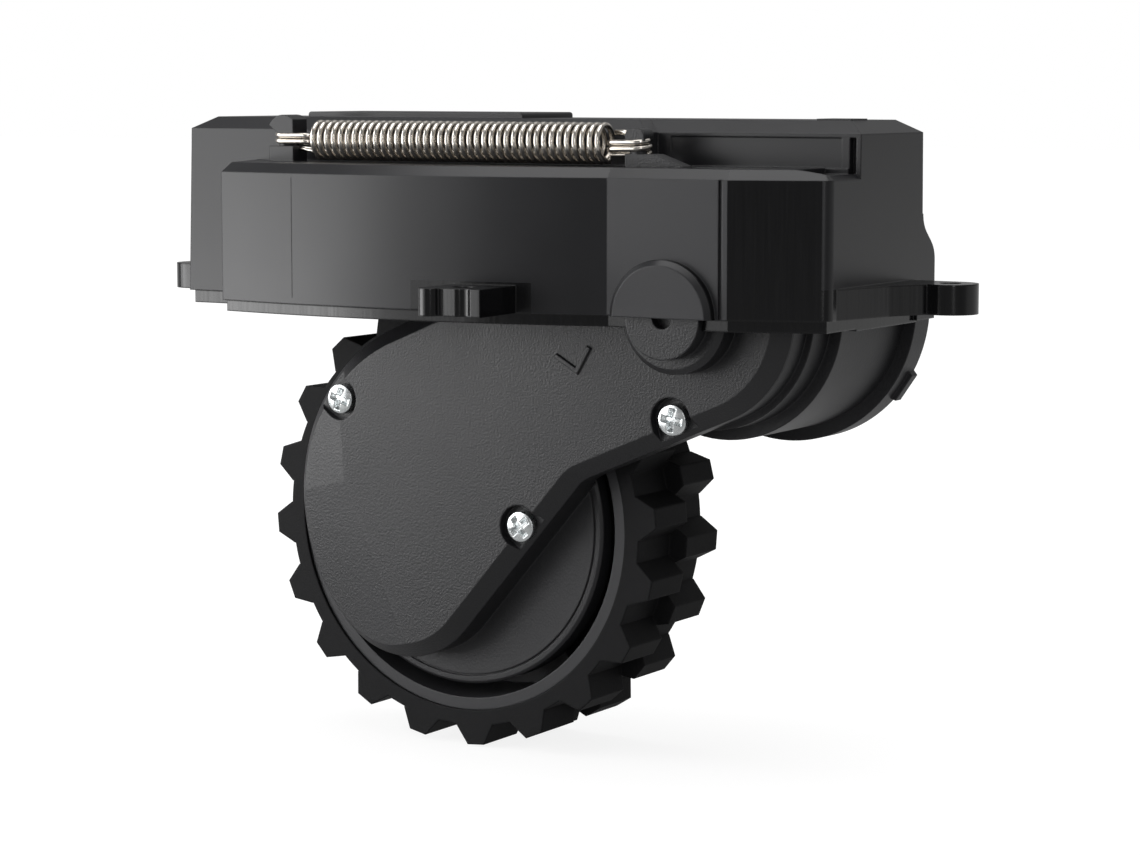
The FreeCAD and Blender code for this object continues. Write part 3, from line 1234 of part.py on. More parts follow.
def build_screws():
    """The three pan-head screws of the gearbox cover, in one node."""
    screws = []
    seat, rim = SPLIT + " - recess_floor", "screw_head_high * head_rim"
    dome = "screw_head_high * (1 - head_rim)"
    top = seat + " - screw_head_high"
    for i, (x, z, _) in enumerate(screw_spots()):
        pieces = [
            cylinder("cover_screw_shank_%d" % i, "0", seat, "0", "screw_r",
                     "recess_floor + screw_long - screw_short"),
            cylinder("cover_screw_rim_%d" % i, "0", seat + " - " + rim, "0", "screw_head_r", rim),
            cone("cover_screw_dome_%d" % i, "0", top, "0", "screw_head_r * head_flat", "screw_head_r",
                 dome),
        ]
        for piece in pieces:
            set_aside(piece, x, z)
        slots = [cross_slot("cover_screw_slot_%d_%d" % (i, turn), x, z, top, size("cross_deg") + 90 * turn)
                 for turn in (0, 1)]
        screws.append(cut("cover_screw_%d" % i, fuse("cover_screw_blank_%d" % i, *pieces), *slots))
    finish(fuse("cover_screws_solid", *screws), "cover_screws")


def cross_slot(name, x, z, top, degrees):
    """One arm of the cross recess in a screw's head."""
    slot = box(name, "0", top, "0", "screw_head_r * 2 * cross_half", "screw_head_high / 2",
               "screw_head_r * cross_wide")
    along = Rotation(Vector(0, 1, 0), degrees)
    corner = Vector(-size("cross_half"), 0, -size("cross_wide") / 2) * size("screw_head_r")
    shift = along.multVec(corner)
    slot.setExpression(".Placement.Base.x", None)
    slot.setExpression(".Placement.Base.z", None)
    slot.Placement = Placement(Vector(x + shift.x, 0, z + shift.z), along)
    return slot


def wire_solid(path, radius, sides):
    """A wire of straight pieces with mitred joints, along a path of points."""
    count = len(path)
    rings = []
    for i in range(count):
        before = (path[i] - path[i - 1]).normalize() if i else (path[1] - path[0]).normalize()
        after = (path[i + 1] - path[i]).normalize() if i < count - 1 else before
        normal = (before + after).normalize()
        if i == 0:
            side = before.cross(Vector(0.3, 0.9, 0.2)).normalize()
            other = before.cross(side)
            ring = [path[0] + side * radius * math.cos(2 * math.pi * k / sides)
                    + other * radius * math.sin(2 * math.pi * k / sides) for k in range(sides)]
        else:
            ring = [p + before * ((path[i] - p).dot(normal) / before.dot(normal)) for p in rings[-1]]
        rings.append(ring)
    faces = [Part.Face(Part.makePolygon(ring + ring[:1])) for ring in (rings[0], rings[-1])]
    for low, high in zip(rings, rings[1:]):
        for k in range(sides):
            n = (k + 1) % sides
            faces.append(Part.Face(Part.makePolygon([low[k], low[n], high[n], high[k], low[k]])))
    shell = Part.Shell(faces)
    shell.sewShape()
    return Part.Solid(shell)


def build_spring():
    """The tension spring: a close coil with a double hook round each post."""
    y, z, radius = size("spring_y"), size("spring_z"), size("coil_r")
    left, right = -size("coil_left"), size("coil_right")
    turns = int(size("coil_turns"))
    path = []
    hook = size("neck_r") + size("wire_r") + size("side_gap") / 3
    for post, first in ((-size("left_post_x"), True), (size("pivot_x") - size("lever_left"), False)):
        sign = -1 if first else 1
        low = z - size("wire_r") * 1.15 - (0 if first else size("lever_sink"))
        end = left if first else right
        loop = []
        for angle in HOOK_DEGS:
            a = math.radians(angle)
            rise = size("wire_r") * 2.3 * (angle - HOOK_DEGS[0]) / 360
            loop.append(Vector(post - sign * hook * math.cos(a), y + hook * math.sin(a), low + rise))
        joint = Vector(end + sign * size("wire_r") * 3, y, z)
        if first:
            path += loop + [joint]
            for i in range(turns * COIL_STEPS + 1):
                a = 2 * math.pi * i / COIL_STEPS - math.pi / 2
                x = left + (right - left) * i / (turns * COIL_STEPS)
                path.append(Vector(x, y + radius * math.cos(a), z + radius * math.sin(a)))
        else:
            path += [joint] + loop[::-1]
    finish(feature("spring_solid", wire_solid(path, size("wire_r"), WIRE_SIDES)), "tension_spring")


build_housing()
build_case()
build_disc_cover()
build_cover()
build_screws()
build_rear_cap()
build_motor()
build_gears()
build_axle()
build_hub()
build_tyre()
build_spring()
doc.recompute()

for obj in doc.Objects:
    if "Invalid" in obj.State or "Error" in obj.State:
        raise RuntimeError(obj.Name + " is " + str(obj.State))
for obj in SUBPARTS:
    if obj.Shape.isNull() or not obj.Shape.isValid() or not obj.Shape.Solids:
        raise RuntimeError(obj.Label + " has no valid solid")
for obj in SUBPARTS:
    obj.Shape.exportStep("parts/" + obj.Label + ".step")
    print(obj.Label, len(obj.Shape.Solids), round(obj.Shape.Volume, 1))
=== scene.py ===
import math

import bpy
from mathutils import Matrix, Vector


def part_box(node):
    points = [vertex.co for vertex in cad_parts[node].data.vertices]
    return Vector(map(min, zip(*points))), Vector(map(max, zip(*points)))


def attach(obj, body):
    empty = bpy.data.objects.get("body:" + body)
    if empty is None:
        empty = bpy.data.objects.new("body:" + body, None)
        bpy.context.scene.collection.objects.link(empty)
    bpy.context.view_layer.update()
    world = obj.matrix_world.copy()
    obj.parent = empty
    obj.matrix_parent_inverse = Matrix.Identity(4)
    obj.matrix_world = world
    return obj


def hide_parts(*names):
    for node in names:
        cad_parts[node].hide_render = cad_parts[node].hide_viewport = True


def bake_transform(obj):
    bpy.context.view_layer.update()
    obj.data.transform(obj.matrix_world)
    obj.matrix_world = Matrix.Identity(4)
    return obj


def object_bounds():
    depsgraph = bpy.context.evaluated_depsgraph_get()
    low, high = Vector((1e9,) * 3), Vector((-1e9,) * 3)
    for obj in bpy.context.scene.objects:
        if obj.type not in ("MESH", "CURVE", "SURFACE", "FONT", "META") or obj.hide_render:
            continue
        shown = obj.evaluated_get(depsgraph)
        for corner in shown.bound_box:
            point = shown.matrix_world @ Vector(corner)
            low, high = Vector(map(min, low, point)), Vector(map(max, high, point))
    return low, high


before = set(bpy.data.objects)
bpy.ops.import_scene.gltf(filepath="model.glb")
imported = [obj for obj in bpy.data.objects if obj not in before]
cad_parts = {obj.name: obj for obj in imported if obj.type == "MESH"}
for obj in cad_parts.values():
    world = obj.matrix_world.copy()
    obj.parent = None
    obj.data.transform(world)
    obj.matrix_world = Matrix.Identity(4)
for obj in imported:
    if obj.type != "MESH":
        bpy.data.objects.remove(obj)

cad_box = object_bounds()
MM = 0.001

# Camera: azimuth and elevation of the view, and where the lens stands from the wheel's front centre.
VIEW_AZ, VIEW_EL = math.radians(31.52), math.radians(6.48)
WHEEL = Vector((-16.5, 23.5, -34.06)) * MM
LENS_OFFSET = Vector((17.09, 14.38, 469.3)) * MM
# Its focal length and the picture's width in the photograph's pixels, and its sensor in millimetres.
LENS_PX, FRAME_WIDE_PX, SENSOR_WIDE = 3036.8, 1140, 36
CLIP_START, CLIP_END = 0.01, 20

# The spring: a close coil between two posts, the right one a little lower.
COIL_LEFT, COIL_RIGHT = -38.4 * MM, 13.9 * MM
POST_LEFT, POST_RIGHT, RIGHT_SINK = -44.1 * MM, 19.05 * MM, 0.5 * MM
SPRING_Y, SPRING_Z = 17.4 * MM, 24.4 * MM
COIL_R, COIL_TURNS, COIL_STEPS = 2.7 * MM, 40, 20
WIRE_R, WIRE_SIDES = 0.43 * MM, 10
# Its hooks: the bend round the post, the narrower bend by the coil, and the rise from turn to turn.
HOOK_R, HOOK_TURNS, HOOK_STEPS = 1.55 * MM, 2, 48
HOOK_INSET, HOOK_NARROW = 1.6 * MM, 0.75
HOOK_RISE = 2.15 * WIRE_R
# Where the wire leaves the coil for a hook, and the right hook's free end from the coil's right end.
LEAD_OUT, LEAD_DROP = 0.5 * MM, 0.6 * COIL_R
FREE_END = (Vector((2.2, 0.9, 1.6)) * MM, Vector((0.6, 0.9, 1.6)) * MM)

# Cover screws: the fall of the dome, the head's height, the shank, and the mesh's rings of points.
DOME_FALL, DOME_POWER, DOME_REACH = 0.45 * MM, 2.2, 0.97
HEAD_HIGH, SHANK_R, TIP_R = 1.7 * MM, 1.15 * MM, 0.02 * MM
DOME_RINGS, SCREW_SIDES = 34, 120
# The rim's rings, each a share of the head's radius and its depth behind the dome's top.
RIM = ((0.99, 0.52 * MM), (1.0, 0.7 * MM))
# The cross recess: its depth, its turn in each screw, and its sizes as shares of the head's radius.
CROSS_DEEP, CROSS_TURNS = 0.9 * MM, (0.3, 0.9, 0.15)
CROSS_HALF, CROSS_REACH, CROSS_SIDE_SLOPE, CROSS_END_SLOPE = 0.26, 0.8, 0.16, 0.3

# Places on the housing where its finish changes: the pivot's cap, the facet round it, the slanted
# corner right of the facet, the ears and the lip below the walls.
PIVOT_X, CAP_R = 27.4 * MM, 8.3 * MM
FACET_Y, FACET_LEFT, FACET_RIGHT = 10.0 * MM, 18.0 * MM, 36.2 * MM
FACET_PAST = 2 * MM
SLANT = Vector((0.361, -0.932, 0)).normalized()
FRONT_EAR_X, FRONT_EAR_Y = 12 * MM, 7.0 * MM
RIGHT_EAR_X, RIGHT_EAR_Y, LEFT_EAR_X = 48.2 * MM, 44.5 * MM, -67.3 * MM
EAR_TOP, LIP_TOP = 4.42 * MM, -0.03 * MM
# The joint between the gearbox cover and its case.
SEAM_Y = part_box("gearbox_case")[0][1]
# How near to a size a spot has to lie to count as there.
NEAR = 0.1 * MM

# The plain mark on the cover: its corner, its lean, and the length, width and rise of its legs.
MARK_X, MARK_Z, MARK_LEAN = 9.2 * MM, -9.0 * MM, math.radians(-30)
MARK_LEG, MARK_WIDE, MARK_RISE = 4.2 * MM, 1.0 * MM, 0.35 * MM
# The witness line of the mould on the tray's front wall.
WITNESS_X, WITNESS_LOW, WITNESS_HIGH = -33.6 * MM, 1.0 * MM, 19.0 * MM
WITNESS_WIDE, WITNESS_RISE = 0.16 * MM, 0.03 * MM
# A raised line's section: half its top as a share of its width, and how deep its foot is sunk.
RIDGE_TOP, RIDGE_SINK = 0.32, 0.1 * MM
# A place in front of the whole part, from which its front is looked for.
FRONT_Y = -0.1

# The studio: its middle, half the floor's side, the floor's drop below the part and its shade.
STUDIO = Vector((0, 0.02, -0.01))
FLOOR_HALF, FLOOR_DROP, FLOOR_SHADE = 4, 0.2 * MM, 0.22
# The surround's level on the object.
AMBIENT = 0.25
# Two levels, and the two places between which one turns into the other: the floor's glow away from
# the part, and what gloss sees of the floor and of the surround, which are dimmer in front.
FLOOR_GLOW = (0.86, 0.99, 0.05, 0.35)
FLOOR_MIRRORED = (0.15, 0.5, -0.1, 0.2)
SKY_MIRRORED = (0.08, 0.5, 0.8, 1.0)
# Soft boxes: direction from the studio's middle, distance, width and height, and brightness.
SOFT_BOXES = {
    "key": ((-0.83, -0.56, 0.05), 0.5, (0.44, 0.8), 3.4),
    "near": ((-0.8, -0.58, -0.3), 0.24, (0.14, 0.16), 3.2),
    "side": ((-0.42, -0.91, 0.0), 0.5, (0.17, 0.6), 1.3),
    "top": ((0.0, 0.0, 1.0), 0.8, (0.9, 0.6), 2.4),
    "rim": ((0.1, 0.75, 0.8), 0.9, (0.6, 0.3), 0.5),
    "strip": ((0.66, -0.75, 0.3), 1.1, (0.12, 0.7), 5.0),
}


def camera():
    """The photograph's view."""
    ca, sa, ce, se = math.cos(VIEW_AZ), math.sin(VIEW_AZ), math.cos(VIEW_EL), math.sin(VIEW_EL)
    right = Vector((ca, sa, 0))
    ahead = Vector((-sa * ce, ca * ce, -se))
    up = right.cross(ahead)
    place = WHEEL + right * LENS_OFFSET.x + up * LENS_OFFSET.y - ahead * LENS_OFFSET.z
    data = bpy.data.cameras.new("camera")
    data.sensor_width = SENSOR_WIDE
    data.lens = SENSOR_WIDE * LENS_PX / FRAME_WIDE_PX
    data.clip_start, data.clip_end = CLIP_START, CLIP_END
    obj = bpy.data.objects.new("camera", data)
    bpy.context.scene.collection.objects.link(obj)
    turn = Matrix((right, up, -ahead)).transposed().to_4x4()
    obj.matrix_world = Matrix.Translation(place) @ turn
    bpy.context.scene.camera = obj


def soft_box(name, direction, distance, size, level):
    """A soft box that faces the studio's middle, of a given brightness."""
    where = STUDIO + Vector(direction).normalized() * distance
    data = bpy.data.lights.new(name, "AREA")
    data.shape = "RECTANGLE"
    data.size, data.size_y = size
    data.energy = level * math.pi * size[0] * size[1]
    obj = bpy.data.objects.new(name, data)
    bpy.context.scene.collection.objects.link(obj)
    obj.location = where
    obj.rotation_euler = (STUDIO - where).to_track_quat("-Z", "Y").to_euler()


class Tree:
    """A node tree and short names for the nodes that go into it."""

    def __init__(self, tree):
        self.nodes, self.links = tree.nodes, tree.links

    def put(self, socket, value):
        """Give a socket a number, a colour or another node's output."""
        if hasattr(value, "is_output"):
            self.links.new(value, socket)
        else:
            socket.default_value = value

    def math(self, operation, *values):
        """A Math node's result."""
        node = self.nodes.new("ShaderNodeMath")
        node.operation = operation
        for socket, value in zip(node.inputs, values):
            self.put(socket, value)
        return node.outputs["Value"]

    def all_of(self, *tests):
        """One where every test holds."""
        result = tests[0]
        for test in tests[1:]:
            result = self.math("MULTIPLY", result, test)
        return result

    def any_of(self, *tests):
        """One where some test holds."""
        result = tests[0]
        for test in tests[1:]:
            result = self.math("MAXIMUM", result, test)
        return result

    def over(self, value, limit):
        """One where a value is over a limit."""
        return self.math("GREATER_THAN", value, limit)

    def under(self, value, limit):
        """One where a value is under a limit."""
        return self.math("LESS_THAN", value, limit)

    def length(self, across, along):
        """The length of a line from its two offsets."""
        squares = self.math("POWER", across, 2), self.math("POWER", along, 2)
        return self.math("SQRT", self.math("ADD", *squares))

    def spread(self, value, low, high, start=0.3, end=0.7):
        """Spread a value between two numbers; the ends suit a noise."""
        node = self.nodes.new("ShaderNodeMapRange")
        ends = (("From Min", start), ("From Max", end), ("To Min", low), ("To Max", high))
        for name, number in ends:
            self.put(node.inputs[name], number)
        self.links.new(value, node.inputs["Value"])
        return node.outputs["Result"]

    def blend(self, factor, first, second):
        """A colour between two."""
        node = self.nodes.new("ShaderNodeMix")
        node.data_type = "RGBA"
        self.put(node.inputs["Factor"], factor)
        for socket, value in ((node.inputs[6], first), (node.inputs[7], second)):
            self.put(socket, (*value, 1) if isinstance(value, tuple) else value)
        return node.outputs[2]

    def mix(self, factor, first, second):
        """A number between two."""
        node = self.nodes.new("ShaderNodeMix")
        self.put(node.inputs["Factor"], factor)
        self.put(node.inputs[2], first)
        self.put(node.inputs[3], second)
        return node.outputs[0]

    def shown(self, mirrored):
        """One in the picture itself, and a level of its own in what gloss mirrors and glass lets through."""
        path = self.nodes.new("ShaderNodeLightPath")
        through = self.any_of(path.outputs["Is Glossy Ray"], path.outputs["Is Transmission Ray"])
        return self.any_of(path.outputs["Is Camera Ray"], self.math("MULTIPLY", through, mirrored))


class Surface(Tree):
    """A material and what its finish is made of."""

    def __init__(self, name):
        self.mat = bpy.data.materials.new(name)
        self.mat.use_nodes = True
        super().__init__(self.mat.node_tree)
        self.shader = self.nodes["Principled BSDF"]
        coord = self.nodes.new("ShaderNodeTexCoord")
        self.place, self.normal = coord.outputs["Object"], coord.outputs["Normal"]
        split = self.nodes.new("ShaderNodeSeparateXYZ")
        self.links.new(self.place, split.inputs["Vector"])
        self.x, self.y, self.z = split.outputs

    def faces(self, direction, limit):
        """One where the surface faces along a direction, within the angle whose cosine is the limit."""
        dot = self.nodes.new("ShaderNodeVectorMath")
        dot.operation = "DOT_PRODUCT"
        self.links.new(self.normal, dot.inputs[0])
        dot.inputs[1].default_value = direction
        return self.over(dot.outputs["Value"], limit)

    def noise(self, scale, detail, stretch=(1, 1, 1)):
        """Noise in object space, from nought to one; its scale is in grains to a millimetre."""
        mapping = self.nodes.new("ShaderNodeMapping")
        mapping.inputs["Scale"].default_value = [scale * s / MM for s in stretch]
        self.links.new(self.place, mapping.inputs["Vector"])
        noise = self.nodes.new("ShaderNodeTexNoise")
        noise.inputs["Scale"].default_value = 1
        noise.inputs["Detail"].default_value = detail
        self.links.new(mapping.outputs["Vector"], noise.inputs["Vector"])
        return noise.outputs["Fac"]

    def relief(self, heights, edge_mm):
        """Rounded edges, and fine relief: each a height, its depth in millimetres and its strength."""
        edge = self.nodes.new("ShaderNodeBevel")
        edge.samples = 6
        edge.inputs["Radius"].default_value = edge_mm * MM
        normal = edge.outputs["Normal"]
        for height, depth, strength in heights:
            bump = self.nodes.new("ShaderNodeBump")
            bump.inputs["Distance"].default_value = depth * MM
            self.put(bump.inputs["Strength"], strength)
            self.links.new(height, bump.inputs["Height"])
            self.links.new(normal, bump.inputs["Normal"])
            normal = bump.outputs["Normal"]
        self.links.new(normal, self.shader.inputs["Normal"])

    def set(self, **values):
        """Set the shader's own sockets, named with underscores for spaces."""
        for name, value in values.items():
            self.put(self.shader.inputs[name.replace("_", " ")], value)


def housing_plastic():
    """Black moulded plastic in three finishes: satin walls, a sparked facet and polished faces."""
    s = Surface("housing_black")
    from_pivot = s.length(s.math("SUBTRACT", s.x, PIVOT_X), s.z)
    slant = s.all_of(s.faces(SLANT, 0.995), s.over(s.x, FACET_RIGHT))
    cap_side = s.all_of(s.over(from_pivot, CAP_R - NEAR), s.under(from_pivot, CAP_R + NEAR),
                        s.under(s.y, FACET_Y))
    front_ear = s.all_of(s.under(s.y, FRONT_EAR_Y), s.over(s.x, -FRONT_EAR_X), s.under(s.x, FRONT_EAR_X))
    right_ear = s.all_of(s.over(s.x, RIGHT_EAR_X), s.under(s.y, RIGHT_EAR_Y))
    ears = s.all_of(s.any_of(front_ear, right_ear, s.under(s.x, LEFT_EAR_X)), s.under(s.z, EAR_TOP))
    polished = s.any_of(slant, cap_side, ears, s.under(s.z, LIP_TOP))
    facet = s.all_of(s.faces(Vector((0, -1, 0)), 0.99), s.over(s.x, FACET_LEFT),
                     s.under(s.x, FACET_RIGHT + FACET_PAST), s.under(s.y, FACET_Y + 2 * NEAR))
    slow, fine, drawn = s.noise(0.05, 3), s.noise(4.0, 2), s.noise(2.2, 2, (1, 1, 0.03))
    dark = s.blend(s.spread(slow, 0, 1), (0.0115, 0.0115, 0.013), (0.0155, 0.0155, 0.0175))
    dark = s.blend(facet, dark, (0.022, 0.022, 0.0245))
    dull = s.mix(facet, s.spread(slow, 0.28, 0.33), 0.46)
    s.set(Base_Color=s.blend(polished, dark, (0.0035, 0.0035, 0.0042)),
          Roughness=s.mix(polished, dull, s.spread(drawn, 0.1, 0.24)), Specular_IOR_Level=0.4)
    sparked = s.mix(polished, s.mix(facet, 0.25, 0.5), 0.0)
    s.relief([(fine, 0.02, sparked), (drawn, 0.01, s.math("MULTIPLY", polished, 0.25))], 0.3)
    return s.mat


def plastic(name, low, high, rough, grain, depth, edge_mm, specular=0.42, seam=False):
    """Moulded plastic or rubber: slow changes of shade and gloss, and spark grain."""
    s = Surface(name)
    slow, fine = s.noise(0.06, 3), s.noise(grain, 2)
    colour = s.blend(s.spread(slow, 0, 1), low, high)
    if seam:
        colour = s.blend(s.math("COMPARE", s.y, SEAM_Y, NEAR), colour, (0.001, 0.001, 0.001))
    s.set(Base_Color=colour, Roughness=s.spread(slow, rough - 0.04, rough + 0.04),
          Specular_IOR_Level=specular)
    s.relief([(fine, 0.06, depth)], edge_mm)
    return s.mat


def metal(name, low, high, rough, grain, stretch=(1, 1, 1), edge_mm=0.1):
    """Bare or plated metal with fine marks."""
    s = Surface(name)
    marks = s.noise(grain, 3, stretch)
    s.set(Base_Color=s.blend(s.spread(marks, 0, 1), low, high), Metallic=1.0,
          Roughness=s.spread(marks, rough - 0.05, rough + 0.06))
    s.relief([(marks, 0.01, 0.3)], edge_mm)
    return s.mat


def dress(mat, *names):
    """Give nodes of the frame a material."""
    for name in names:
        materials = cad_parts[name].data.materials
        materials.clear()
        materials.append(mat)


def piece(name, points, faces, mat, body=None, smooth=True):
    """A new mesh piece in the frame."""
    mesh = bpy.data.meshes.new(name)
    mesh.from_pydata([tuple(p) for p in points], [], faces)
    mesh.validate()
    mesh.polygons.foreach_set("use_smooth", [smooth] * len(mesh.polygons))
    mesh.materials.append(mat)
    obj = bpy.data.objects.new(name, mesh)
    bpy.context.scene.collection.objects.link(obj)
    if body:
        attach(obj, body)
    return obj


def between_rings(start, rings, around, flip=False):
    """Faces between closed rings of points, one ring after another."""
    faces = []
    for i in range(rings - 1):
        low, high = start + i * around, start + (i + 1) * around
        for k in range(around):
            n = (k + 1) % around
            a, b, c, d = low + k, low + n, high + n, high + k
            faces.append((a, d, c, b) if flip else (a, b, c, d))
    return faces


def wire(path):
    """Points and faces of a round wire along a path, with closed ends."""
    points = []
    last = len(path) - 1
    tangents = [(path[min(i + 1, last)] - path[max(i - 1, 0)]).normalized() for i in range(len(path))]
    side = tangents[0].orthogonal().normalized()
    for spot, tangent in zip(path, tangents):
        side = (side - tangent * side.dot(tangent)).normalized()
        other = tangent.cross(side)
        for k in range(WIRE_SIDES):
            a = 2 * math.pi * k / WIRE_SIDES
            points.append(spot + (side * math.cos(a) + other * math.sin(a)) * WIRE_R)
    faces = between_rings(0, len(path), WIRE_SIDES)
    faces.append(tuple(range(WIRE_SIDES))[::-1])
    faces.append(tuple(range(last * WIRE_SIDES, len(path) * WIRE_SIDES)))
    return points, faces


def hook(post, coil_end, sink):
    """Long turns of wire from the coil's end round a post, outermost point first."""
    away = 1 if post > coil_end else -1
    inner = coil_end + away * HOOK_INSET
    path = []
    for i in range(HOOK_TURNS * HOOK_STEPS + 1):
        share = i / HOOK_STEPS
        a = 2 * math.pi * (share % 1)
        middle, reach = (post, HOOK_R) if math.cos(a) > 0 else (inner, HOOK_R * HOOK_NARROW)
        path.append(Vector((middle + away * reach * math.cos(a), SPRING_Y - HOOK_R * math.sin(a),
                            SPRING_Z - sink + HOOK_RISE * (HOOK_TURNS / 2 - share))))
    return path


def build_spring(mat):
    """The tension spring, smooth all along."""
    count = COIL_TURNS * COIL_STEPS
    coil = []
    for i in range(count + 1):
        a = 2 * math.pi * i / COIL_STEPS - math.pi / 2
        x = COIL_LEFT + (COIL_RIGHT - COIL_LEFT) * i / count
        coil.append(Vector((x, SPRING_Y + COIL_R * math.cos(a), SPRING_Z + COIL_R * math.sin(a))))
    lead_z = SPRING_Z - LEAD_DROP
    path = hook(POST_LEFT, COIL_LEFT, 0)
    path += [Vector((COIL_LEFT - LEAD_OUT, SPRING_Y, lead_z))] + coil
    path += [Vector((COIL_RIGHT + LEAD_OUT, SPRING_Y, lead_z))]
    path += hook(POST_RIGHT, COIL_RIGHT, RIGHT_SINK)[::-1]
    path += [Vector((COIL_RIGHT, SPRING_Y, SPRING_Z)) + spot for spot in FREE_END]
    obj = piece("spring_wire", *wire(path), mat)
    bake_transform(obj)
    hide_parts("tension_spring")


def islands(name):
    """The separate solids of a node from left to right, each as its lowest and highest corner."""
    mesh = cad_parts[name].data
    root = list(range(len(mesh.vertices)))

    def find(i):
        while root[i] != i:
            root[i] = root[root[i]]
            i = root[i]
        return i

    seats = {}
    for v in mesh.vertices:
        micrometres = tuple(round(c * 1e6) for c in v.co)
        root[v.index] = seats.setdefault(micrometres, v.index)
    for edge in mesh.edges:
        a, b = find(edge.vertices[0]), find(edge.vertices[1])
        root[a] = b
    groups = {}
    for v in mesh.vertices:
        groups.setdefault(find(v.index), []).append(v.co)
    boxes = []
    for spots in groups.values():
        low = Vector([min(p[k] for p in spots) for k in range(3)])
        high = Vector([max(p[k] for p in spots) for k in range(3)])
        boxes.append((low, high))
    return sorted(boxes, key=lambda b: b[0].x)


def cross_depth(r, a, radius):
    """Depth of the cross recess in a screw's head, as a share of its full depth."""
    x, y = abs(r * math.cos(a)), abs(r * math.sin(a))
    along, across = max(x, y), min(x, y)
    wall = min((CROSS_HALF * radius - across) / (CROSS_SIDE_SLOPE * radius),
               (CROSS_REACH * radius - along) / (CROSS_END_SLOPE * radius))
    wall = max(0.0, min(1.0, wall))
    return wall * wall * (3 - 2 * wall)


def screw_heads(name, node, mat, body):
    """Pan heads with a cross recess on plain shanks, in place of a node's screws."""
    points, faces = [], []
    for (low, high), turn in zip(islands(node), CROSS_TURNS):
        x, z = (low.x + high.x) / 2, (low.z + high.z) / 2
        radius, tip = (high.x - low.x) / 2, high.y - low.y
        dome = [radius * DOME_REACH * i / (DOME_RINGS - 1) for i in range(DOME_RINGS)]
        profile = [(r, DOME_FALL * (r / radius) ** DOME_POWER) for r in dome]
        profile += [(radius * share, depth) for share, depth in RIM]
        profile += [(radius, HEAD_HIGH), (SHANK_R, HEAD_HIGH), (SHANK_R, tip), (TIP_R, tip)]
        start = len(points)
        for i, (r, depth) in enumerate(profile):
            for k in range(SCREW_SIDES):
                a = 2 * math.pi * k / SCREW_SIDES
                recess = CROSS_DEEP * cross_depth(r, a + turn, radius) if i < DOME_RINGS else 0
                points.append(Vector((x + r * math.cos(a), low.y + depth + recess, z + r * math.sin(a))))
        faces += between_rings(start, len(profile), SCREW_SIDES, flip=True)
    obj = piece(name, points, faces, mat, body)
    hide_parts(node)


def front_of(node, x, z):
    """The front surface of a node at a place in the front view."""
    hit, spot, _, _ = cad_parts[node].ray_cast(Vector((x, FRONT_Y, z)), Vector((0, 1, 0)))
    if not hit:
        raise ValueError("nothing of %s at %.4f, %.4f" % (node, x, z))
    return spot.y


def ridge(name, spots, width, rise, node, mat, body):
    """A low raised line on the front of a node, along spots in the front view."""
    section = ((-0.5, -RIDGE_SINK), (-RIDGE_TOP, rise), (RIDGE_TOP, rise), (0.5, -RIDGE_SINK))
    spots = [Vector(spot) for spot in spots]
    legs = [(b - a).normalized() for a, b in zip(spots, spots[1:])]
    points, faces = [], []
    for i, spot in enumerate(spots):
        beside = [Vector((-leg.y, leg.x)) for leg in legs[max(i - 1, 0):i + 1]]
        across = sum(beside, Vector((0, 0)))
        across = across * len(beside) / across.length_squared
        y = front_of(node, spot.x, spot.y)
        for share, lift in section:
            shift = across * width * share
            points.append(Vector((spot.x + shift.x, y - lift, spot.y + shift.y)))
    count = len(section)
    for i in range(len(legs)):
        for k in range(count - 1):
            a, b = i * count + k, (i + 1) * count + k
            faces.append((a, b, b + 1, a + 1))
    last = len(legs) * count
    faces += [tuple(range(count)), tuple(range(last, last + count))[::-1]]
    return piece(name, points, faces, mat, body, smooth=False)


def chevron():
    """The mark in the front view: two equal legs at a right angle."""
    corner, lean = Vector((MARK_X, MARK_Z)), Matrix.Rotation(MARK_LEAN, 2)
    return [corner + lean @ Vector(spot) for spot in ((0, MARK_LEG), (0, 0), (-MARK_LEG, 0))]


def stage():
    """The pale floor and the white surround, which gloss sees dimmer in front, as in a studio."""
    s = Surface("pale_floor")
    shown = s.shown(s.spread(s.y, *FLOOR_MIRRORED))
    glow = s.spread(s.length(s.x, s.y), *FLOOR_GLOW)
    s.set(Base_Color=(FLOOR_SHADE, FLOOR_SHADE, FLOOR_SHADE, 1), Roughness=0.9, Specular_IOR_Level=0.0,
          Emission_Color=(1, 1, 1, 1), Emission_Strength=s.math("MULTIPLY", shown, glow))
    half, low = FLOOR_HALF, cad_box[0][2] - FLOOR_DROP
    corners = [(-half, -half, low), (half, -half, low), (half, half, low), (-half, half, low)]
    floor = piece("floor", corners, [(0, 1, 2, 3)], s.mat, smooth=False)
    world = bpy.data.worlds.new("world")
    bpy.context.scene.world = world
    world.use_nodes = True
    sky = Tree(world.node_tree)
    split = sky.nodes.new("ShaderNodeSeparateXYZ")
    sky.links.new(sky.nodes.new("ShaderNodeTexCoord").outputs["Generated"], split.inputs["Vector"])
    shown = sky.shown(sky.spread(split.outputs["Y"], *SKY_MIRRORED))
    back = sky.nodes["Background"]
    back.inputs["Color"].default_value = (1, 1, 1, 1)
    sky.links.new(sky.any_of(shown, AMBIENT), back.inputs["Strength"])


bpy.context.scene.view_settings.view_transform = "Standard"
camera()
stage()

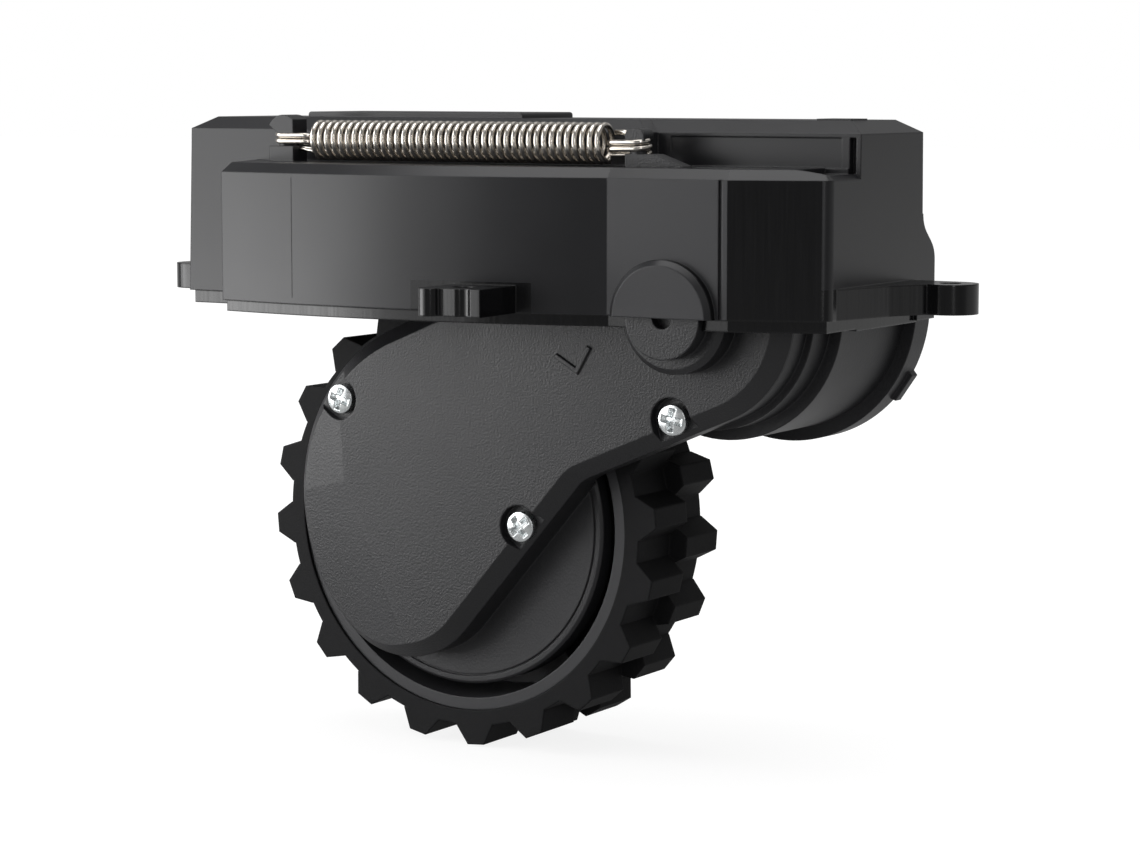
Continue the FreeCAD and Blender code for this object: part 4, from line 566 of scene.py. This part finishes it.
housing_black = housing_plastic()
case_black = plastic("gearbox_black", (0.016, 0.016, 0.018), (0.020, 0.020, 0.0222), rough=0.47,
                     grain=2.6, depth=0.6, edge_mm=0.3, specular=0.5, seam=True)
cover_black = plastic("cover_black", (0.013, 0.013, 0.0145), (0.017, 0.017, 0.019), rough=0.42,
                      grain=3.2, depth=1.0, edge_mm=0.35, specular=0.48, seam=True)
# The disc's black is a darker copy of the gearbox black. Its darker colour is painted shade, standing in for
# the gearbox's shadow on the disc; it is also glossier.
disc_black_painted_shade = plastic("disc_black_painted_shade", (0.008, 0.008, 0.009), (0.011, 0.011, 0.0123), rough=0.38,
                     grain=3.2, depth=0.3, edge_mm=0.3, specular=0.5)
hub_black = plastic("hub_black", (0.030, 0.030, 0.0325), (0.036, 0.036, 0.039), rough=0.5,
                    grain=4, depth=0.2, edge_mm=0.25)
rubber_black = plastic("rubber_black", (0.0095, 0.0095, 0.0102), (0.0135, 0.0135, 0.0143), rough=0.68,
                       grain=3, depth=0.6, edge_mm=0.45, specular=0.15)
acetal = plastic("acetal", (0.70, 0.69, 0.64), (0.78, 0.77, 0.72), rough=0.4,
                 grain=3, depth=0.2, edge_mm=0.15, specular=0.5)
motor_black = plastic("motor_black", (0.02, 0.02, 0.02), (0.03, 0.03, 0.03), rough=0.3,
                      grain=3, depth=0.2, edge_mm=0.2)
spring_steel = metal("spring_steel", (0.62, 0.58, 0.53), (0.74, 0.70, 0.64), rough=0.2, grain=1.5,
                     edge_mm=0.05)
zinc = metal("zinc", (0.66, 0.69, 0.70), (0.80, 0.82, 0.82), rough=0.27, grain=1.2)
steel = metal("steel", (0.5, 0.5, 0.5), (0.62, 0.62, 0.62), rough=0.3, grain=2, stretch=(1, 0.05, 1))
brass = metal("brass", (0.62, 0.46, 0.2), (0.76, 0.58, 0.3), rough=0.3, grain=2)
bronze = metal("bronze", (0.42, 0.29, 0.15), (0.56, 0.4, 0.22), rough=0.45, grain=4)

dress(housing_black, "housing")
dress(case_black, "gearbox_case", "motor_cap")
# The disc cover takes the darker copy, whose colour is painted shade.
dress(disc_black_painted_shade, "disc_cover")
dress(cover_black, "gearbox_cover")
dress(hub_black, "wheel_hub")
dress(rubber_black, "tyre")
dress(spring_steel, "tension_spring")
dress(zinc, "cover_screws", "disc_cover_screws", "motor_screws", "wheel_screw", "wheel_washer")
dress(steel, "motor_can", "motor_shaft", "wheel_axle")
dress(steel, "first_gear_pin", "second_gear_pin", "third_gear_pin")
dress(brass, "motor_pinion")
dress(bronze, "front_axle_bush", "rear_axle_bush")
dress(acetal, "first_gear", "second_gear", "third_gear", "output_gear")
dress(motor_black, "motor_end_bell")

build_spring(spring_steel)
screw_heads("cover_screw_heads", "cover_screws", zinc, "arm")
mark = ridge("cover_mark", chevron(), MARK_WIDE, MARK_RISE, "gearbox_cover", cover_black, "arm")
witness = ridge("witness_line", [(WITNESS_X, WITNESS_LOW), (WITNESS_X, WITNESS_HIGH)],
                WITNESS_WIDE, WITNESS_RISE, "housing", housing_black, "housing")

for name, placing in SOFT_BOXES.items():
    soft_box(name, *placing)
